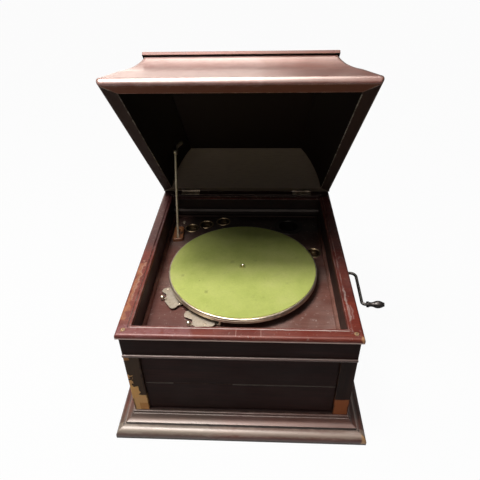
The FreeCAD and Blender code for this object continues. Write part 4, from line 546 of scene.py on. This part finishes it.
# What each node of the model is made of
FINISHES = [
    (front_wood, "front_top_rail front_bottom_rail tone_leaf_upper tone_leaf_lower"),
    (bead_wood, "front_bead"),
    (post_wood, "front_post_left front_post_right"),
    (side_wood, "side_wall_left side_wall_right back_wall"),
    (rim_wood, "top_rim_frame"),
    (plinth_wood, "plinth_base_moulding plinth_cove_moulding"),
    (lid_front_wood, "lid_front"),
    (lid_back_wood, "lid_back"),
    (lid_panel_wood, "lid_top_panel"),
    (lid_side_wood, "lid_left lid_right"),
    (board_wood, "motor_board"),
    (trim_wood, "motor_board_trim"),
    (inside_wood, "back_ledge"),
    (bare_wood, "bottom_board motor_board_cleats horn"),
    (nickel, "turntable_platter speed_lever brake_lever stay_bracket"),
    (bright_nickel, "turntable_spindle"),
    (plate_nickel, "speed_cover_plate brake_cover_plate"),
    (dull_nickel, "hinge_cabinet_leaves hinge_lid_leaves"),
    (cup_nickel, "needle_cups"),
    (rod_nickel, "stay_rod"),
    (guide_wood, "stay_guide"),
    (black_japan, "crank_rod crank_collar crank_escutcheon horn_elbow tone_arm_flange"),
    (ebonised, "crank_grip"),
    (motor_steel, "motor_top_plate motor_bottom_plate motor_pillars motor_bolts motor_bearings spring_barrel "
                  "mainspring winding_wheel winding_shaft ratchet_pawl governor_shaft lower_leaf_pins "
                  "upper_leaf_pins"),
    (cut_brass, "lay_shaft_gear governor_wheel governor_weights governor_disc"),
    (felt_wool, "turntable_felt"),
]
for material, names in FINISHES:
    for node in names.split():
        data = nodes[node].data
        data.materials.clear()
        data.materials.append(material)


# Pieces

def new_piece(name, mesh, material, body):
    """Put a finished mesh in the scene as a piece that rides on a body."""
    mesh.materials.clear()
    mesh.materials.append(material)
    piece = bpy.data.objects.new(name, mesh)
    scene.collection.objects.link(piece)
    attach(piece, body)
    return piece


def felt_disc():
    """The turntable's felt: a soft disc, a little uneven, with a rolled edge and a worn spindle hole."""
    low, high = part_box("turntable_felt")
    outer = (high[0] - low[0]) / 2
    hole = FELT_HOLE * MM
    thick = high[2] - low[2]
    rings = [(hole, 0.0), (hole + 0.4 * MM, thick)]
    rings += [(hole + (outer - hole) * k / FELT_RINGS, thick) for k in range(1, FELT_RINGS)]
    rings += [(outer - 0.8 * MM, thick), (outer - 0.2 * MM, thick - 0.4 * MM)]
    rings += [(outer, thick / 2), (outer, 0.0)]
    work = bmesh.new()
    loops = []
    for radius, up in rings:
        loop = []
        for k in range(FELT_SIDES):
            angle = 2 * math.pi * k / FELT_SIDES
            lift = 0.0
            if up == thick:
                waves = math.sin(3 * angle + 40 * radius) + math.sin(7 * angle - 90 * radius)
                lift = FELT_WAVE * MM * waves - 2 * FELT_WAVE * MM
            point = (SPINDLE[0] * MM + radius * math.cos(angle), SPINDLE[1] * MM + radius * math.sin(angle),
                     low[2] + up + lift)
            loop.append(work.verts.new(point))
        loops.append(loop)
    for inner, other in zip(loops, loops[1:] + loops[:1]):
        for k in range(FELT_SIDES):
            after = (k + 1) % FELT_SIDES
            work.faces.new((inner[k], other[k], other[after], inner[after]))
    bmesh.ops.recalc_face_normals(work, faces=work.faces)
    mesh = bpy.data.meshes.new("turntable_felt_cloth")
    work.to_mesh(mesh)
    work.free()
    mesh.polygons.foreach_set("use_smooth", [True] * len(mesh.polygons))
    felt = new_piece("turntable_felt_cloth", mesh, felt_wool, "turntable")
    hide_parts("turntable_felt")


def screw_tree(material):
    """Geometry Nodes that set a slotted screw head on each point, turned by the point's own angles."""
    tree = bpy.data.node_groups.new("slotted_screws", "GeometryNodeTree")
    sockets = {"Places": "NodeSocketGeometry", "Head radius": "NodeSocketFloat",
               "Head height": "NodeSocketFloat", "Slot width": "NodeSocketFloat"}
    for name, kind in sockets.items():
        tree.interface.new_socket(name, in_out="INPUT", socket_type=kind)
    tree.interface.new_socket("Screws", in_out="OUTPUT", socket_type="NodeSocketGeometry")
    given = add(tree, "NodeGroupInput").node.outputs
    radius, height, slot = given["Head radius"], given["Head height"], given["Slot width"]
    shoulder = add(tree, "ShaderNodeMath", {0: radius, 1: 0.8}, operation="MULTIPLY")
    head = add(tree, "GeometryNodeMeshCone",
               {"Vertices": 20, "Radius Top": shoulder, "Radius Bottom": radius, "Depth": height})
    # The blade that cuts the slot is longer than the head is wide and goes six tenths of the way down.
    length = add(tree, "ShaderNodeMath", {0: radius, 1: 3.0}, operation="MULTIPLY")
    groove = add(tree, "ShaderNodeCombineXYZ", {0: length, 1: slot, 2: height})
    blade = add(tree, "GeometryNodeMeshCube", {"Size": groove})
    lift = add(tree, "ShaderNodeMath", {0: height, 1: 0.9}, operation="MULTIPLY")
    lifted = add(tree, "ShaderNodeCombineXYZ", {2: lift})
    blade = add(tree, "GeometryNodeTransform", {"Geometry": blade, "Translation": lifted})
    slotted = add(tree, "GeometryNodeMeshBoolean", {"Mesh 1": head, "Mesh 2": blade}, operation="DIFFERENCE")
    points = add(tree, "GeometryNodeMeshToPoints", {"Mesh": given["Places"]})
    turn = add(tree, "GeometryNodeInputNamedAttribute", {"Name": "turn"}, data_type="FLOAT_VECTOR")
    angles = add(tree, "FunctionNodeEulerToRotation", {0: turn})
    spread = add(tree, "GeometryNodeInstanceOnPoints",
                 {"Points": points, "Instance": slotted, "Rotation": angles})
    solid = add(tree, "GeometryNodeRealizeInstances", {"Geometry": spread})
    dressed = add(tree, "GeometryNodeSetMaterial", {"Geometry": solid, "Material": material})
    add(tree, "NodeGroupOutput", {"Screws": dressed})
    return tree


def screws(name, places, way, radius, height, slot, material):
    """Screw heads on the cabinet that face one way, at places in millimetres, each with its slot's angle."""
    start = bpy.data.meshes.new(name + "_places")
    start.from_pydata([[c * MM for c in point] for point, spin in places], [], [])
    angles = start.attributes.new("turn", "FLOAT_VECTOR", "POINT")
    for i, (point, spin) in enumerate(places):
        aim = Vector(way).to_track_quat("Z", "Y").to_matrix()
        angles.data[i].vector = (aim @ Matrix.Rotation(math.radians(spin), 3, "Z")).to_euler()
    carrier = bpy.data.objects.new(name + "_carrier", start)
    scene.collection.objects.link(carrier)
    modifier = carrier.modifiers.new("screws", "NODES")
    modifier.node_group = screw_tree(material)
    sizes = {"Head radius": radius * MM, "Head height": height * MM, "Slot width": slot * MM}
    for item in modifier.node_group.interface.items_tree:
        if item.in_out == "INPUT" and item.name in sizes:
            modifier[item.identifier] = sizes[item.name]
    depsgraph = bpy.context.evaluated_depsgraph_get()
    mesh = bpy.data.meshes.new_from_object(carrier.evaluated_get(depsgraph))
    carrier.modifiers.clear()
    bpy.data.objects.remove(carrier)
    mesh.name = name
    new_piece(name, mesh, material, "cabinet")


def set_screws():
    """The screws that the photograph shows, and those that must hold the hinges and the crank's plate."""
    up, right = (0, 0, 1), (1, 0, 0)
    hinges = [(side * HINGE_X + step, HINGE_Y, CASE_TOP)
              for side in (-1, 1) for step in (-HINGE_STEP, 0, HINGE_STEP)]
    screws("hinge_screws", [(p, 17 * i) for i, p in enumerate(hinges)], up,
           radius=2.6, height=0.3, slot=0.7, material=dull_nickel)
    plates = [(x, y, PLATE_TOP) for x, y in ((-149, -69), (-120, -108), (-94, -137), (-66, -163))]
    screws("cover_plate_screws", [(p, 40 * i) for i, p in enumerate(plates)], up,
           radius=3.0, height=1.0, slot=0.8, material=nickel)
    x, y, z = CRANK_PLATE
    ring = [(x, y + CRANK_RING * math.cos(a), z + CRANK_RING * math.sin(a))
            for a in (math.pi / 2, math.pi * 7 / 6, math.pi * 11 / 6)]
    screws("escutcheon_screws", [(p, 25 * i) for i, p in enumerate(ring)], right,
           radius=2.2, height=0.7, slot=0.6, material=black_japan)
    # The heads on the rim stay under the 0.4 mm that the shut lid leaves.
    corners = [(-192, -231, CASE_TOP), (192, -231, CASE_TOP)]
    screws("rim_corner_screws", [(p, 30 + 50 * i) for i, p in enumerate(corners)], up,
           radius=2.0, height=0.34, slot=0.8, material=black_japan)
    screws("rim_corner_pegs", [(p, 75) for p in corners], up,
           radius=4.4, height=0.25, slot=0.2, material=peg_wood)
    screws("stay_guide_screw", [((-152, 189, GUIDE_TOP), 35)], up,
           radius=4.4, height=1.6, slot=1.0, material=nickel)


# Camera, light and floor

def set_camera():
    """The photograph's view: a look down over the front edge."""
    camera = bpy.data.cameras.new("photo_view")
    camera.sensor_width = 36
    camera.lens = CAMERA_LENS
    camera.shift_x, camera.shift_y = CAMERA_SHIFT
    camera.clip_start = 0.05
    camera.clip_end = 50
    turn = Vector(CAMERA_TURN)
    right, down, ahead = Matrix.Rotation(turn.length, 3, turn.normalized())
    pose = Matrix((right, -down, -ahead)).transposed().to_4x4()
    pose.translation = Vector(CAMERA_PLACE) * MM
    holder = bpy.data.objects.new("photo_view", camera)
    holder.matrix_world = pose
    scene.collection.objects.link(holder)
    scene.camera = holder


def soft_lamp(name, place, aim, width, height, power, lights_faces):
    """A soft box that faces a point, hidden from the camera. If it lights no faces, only shine shows it."""
    data = bpy.data.lights.new(name, "AREA")
    data.shape = "RECTANGLE"
    data.size = width
    data.size_y = height
    data.energy = power
    lamp = bpy.data.objects.new(name, data)
    way = Vector(aim) - Vector(place)
    lamp.matrix_world = Matrix.Translation(place) @ way.to_track_quat("-Z", "Y").to_matrix().to_4x4()
    lamp.visible_camera = False
    lamp.visible_diffuse = lights_faces
    if not lights_faces:
        data.color = PANEL_TINT
    scene.collection.objects.link(lamp)


def set_room():
    """A dim room all round, which the camera sees as plain white."""
    world = bpy.data.worlds.new("studio")
    scene.world = world
    world.use_nodes = True
    tree = world.node_tree
    tree.nodes.clear()
    rays = add(tree, "ShaderNodeLightPath").node.outputs
    room = add(tree, "ShaderNodeBackground", {"Color": "#ffffff", "Strength": ROOM_GLOW})
    white = add(tree, "ShaderNodeBackground", {"Color": "#ffffff", "Strength": 1.0})
    seen = add(tree, "ShaderNodeMath", {0: rays["Is Camera Ray"], 1: rays["Is Transmission Ray"]},
               operation="MAXIMUM")
    mixed = add(tree, "ShaderNodeMixShader", {0: seen, 1: room, 2: white})
    add(tree, "ShaderNodeOutputWorld", {"Surface": mixed})


def lay_floor():
    """A round pale floor, wide enough to fill the view."""
    work = bmesh.new()
    bmesh.ops.create_circle(work, cap_ends=True, segments=96, radius=FLOOR_RADIUS)
    mesh = bpy.data.meshes.new("studio_floor")
    work.to_mesh(mesh)
    work.free()
    mesh.materials.append(studio_floor("White studio card"))
    floor = bpy.data.objects.new("studio_floor", mesh)
    scene.collection.objects.link(floor)


felt_disc()
set_screws()
set_camera()
for lamp in LAMPS:
    soft_lamp(*lamp)
set_room()
lay_floor()
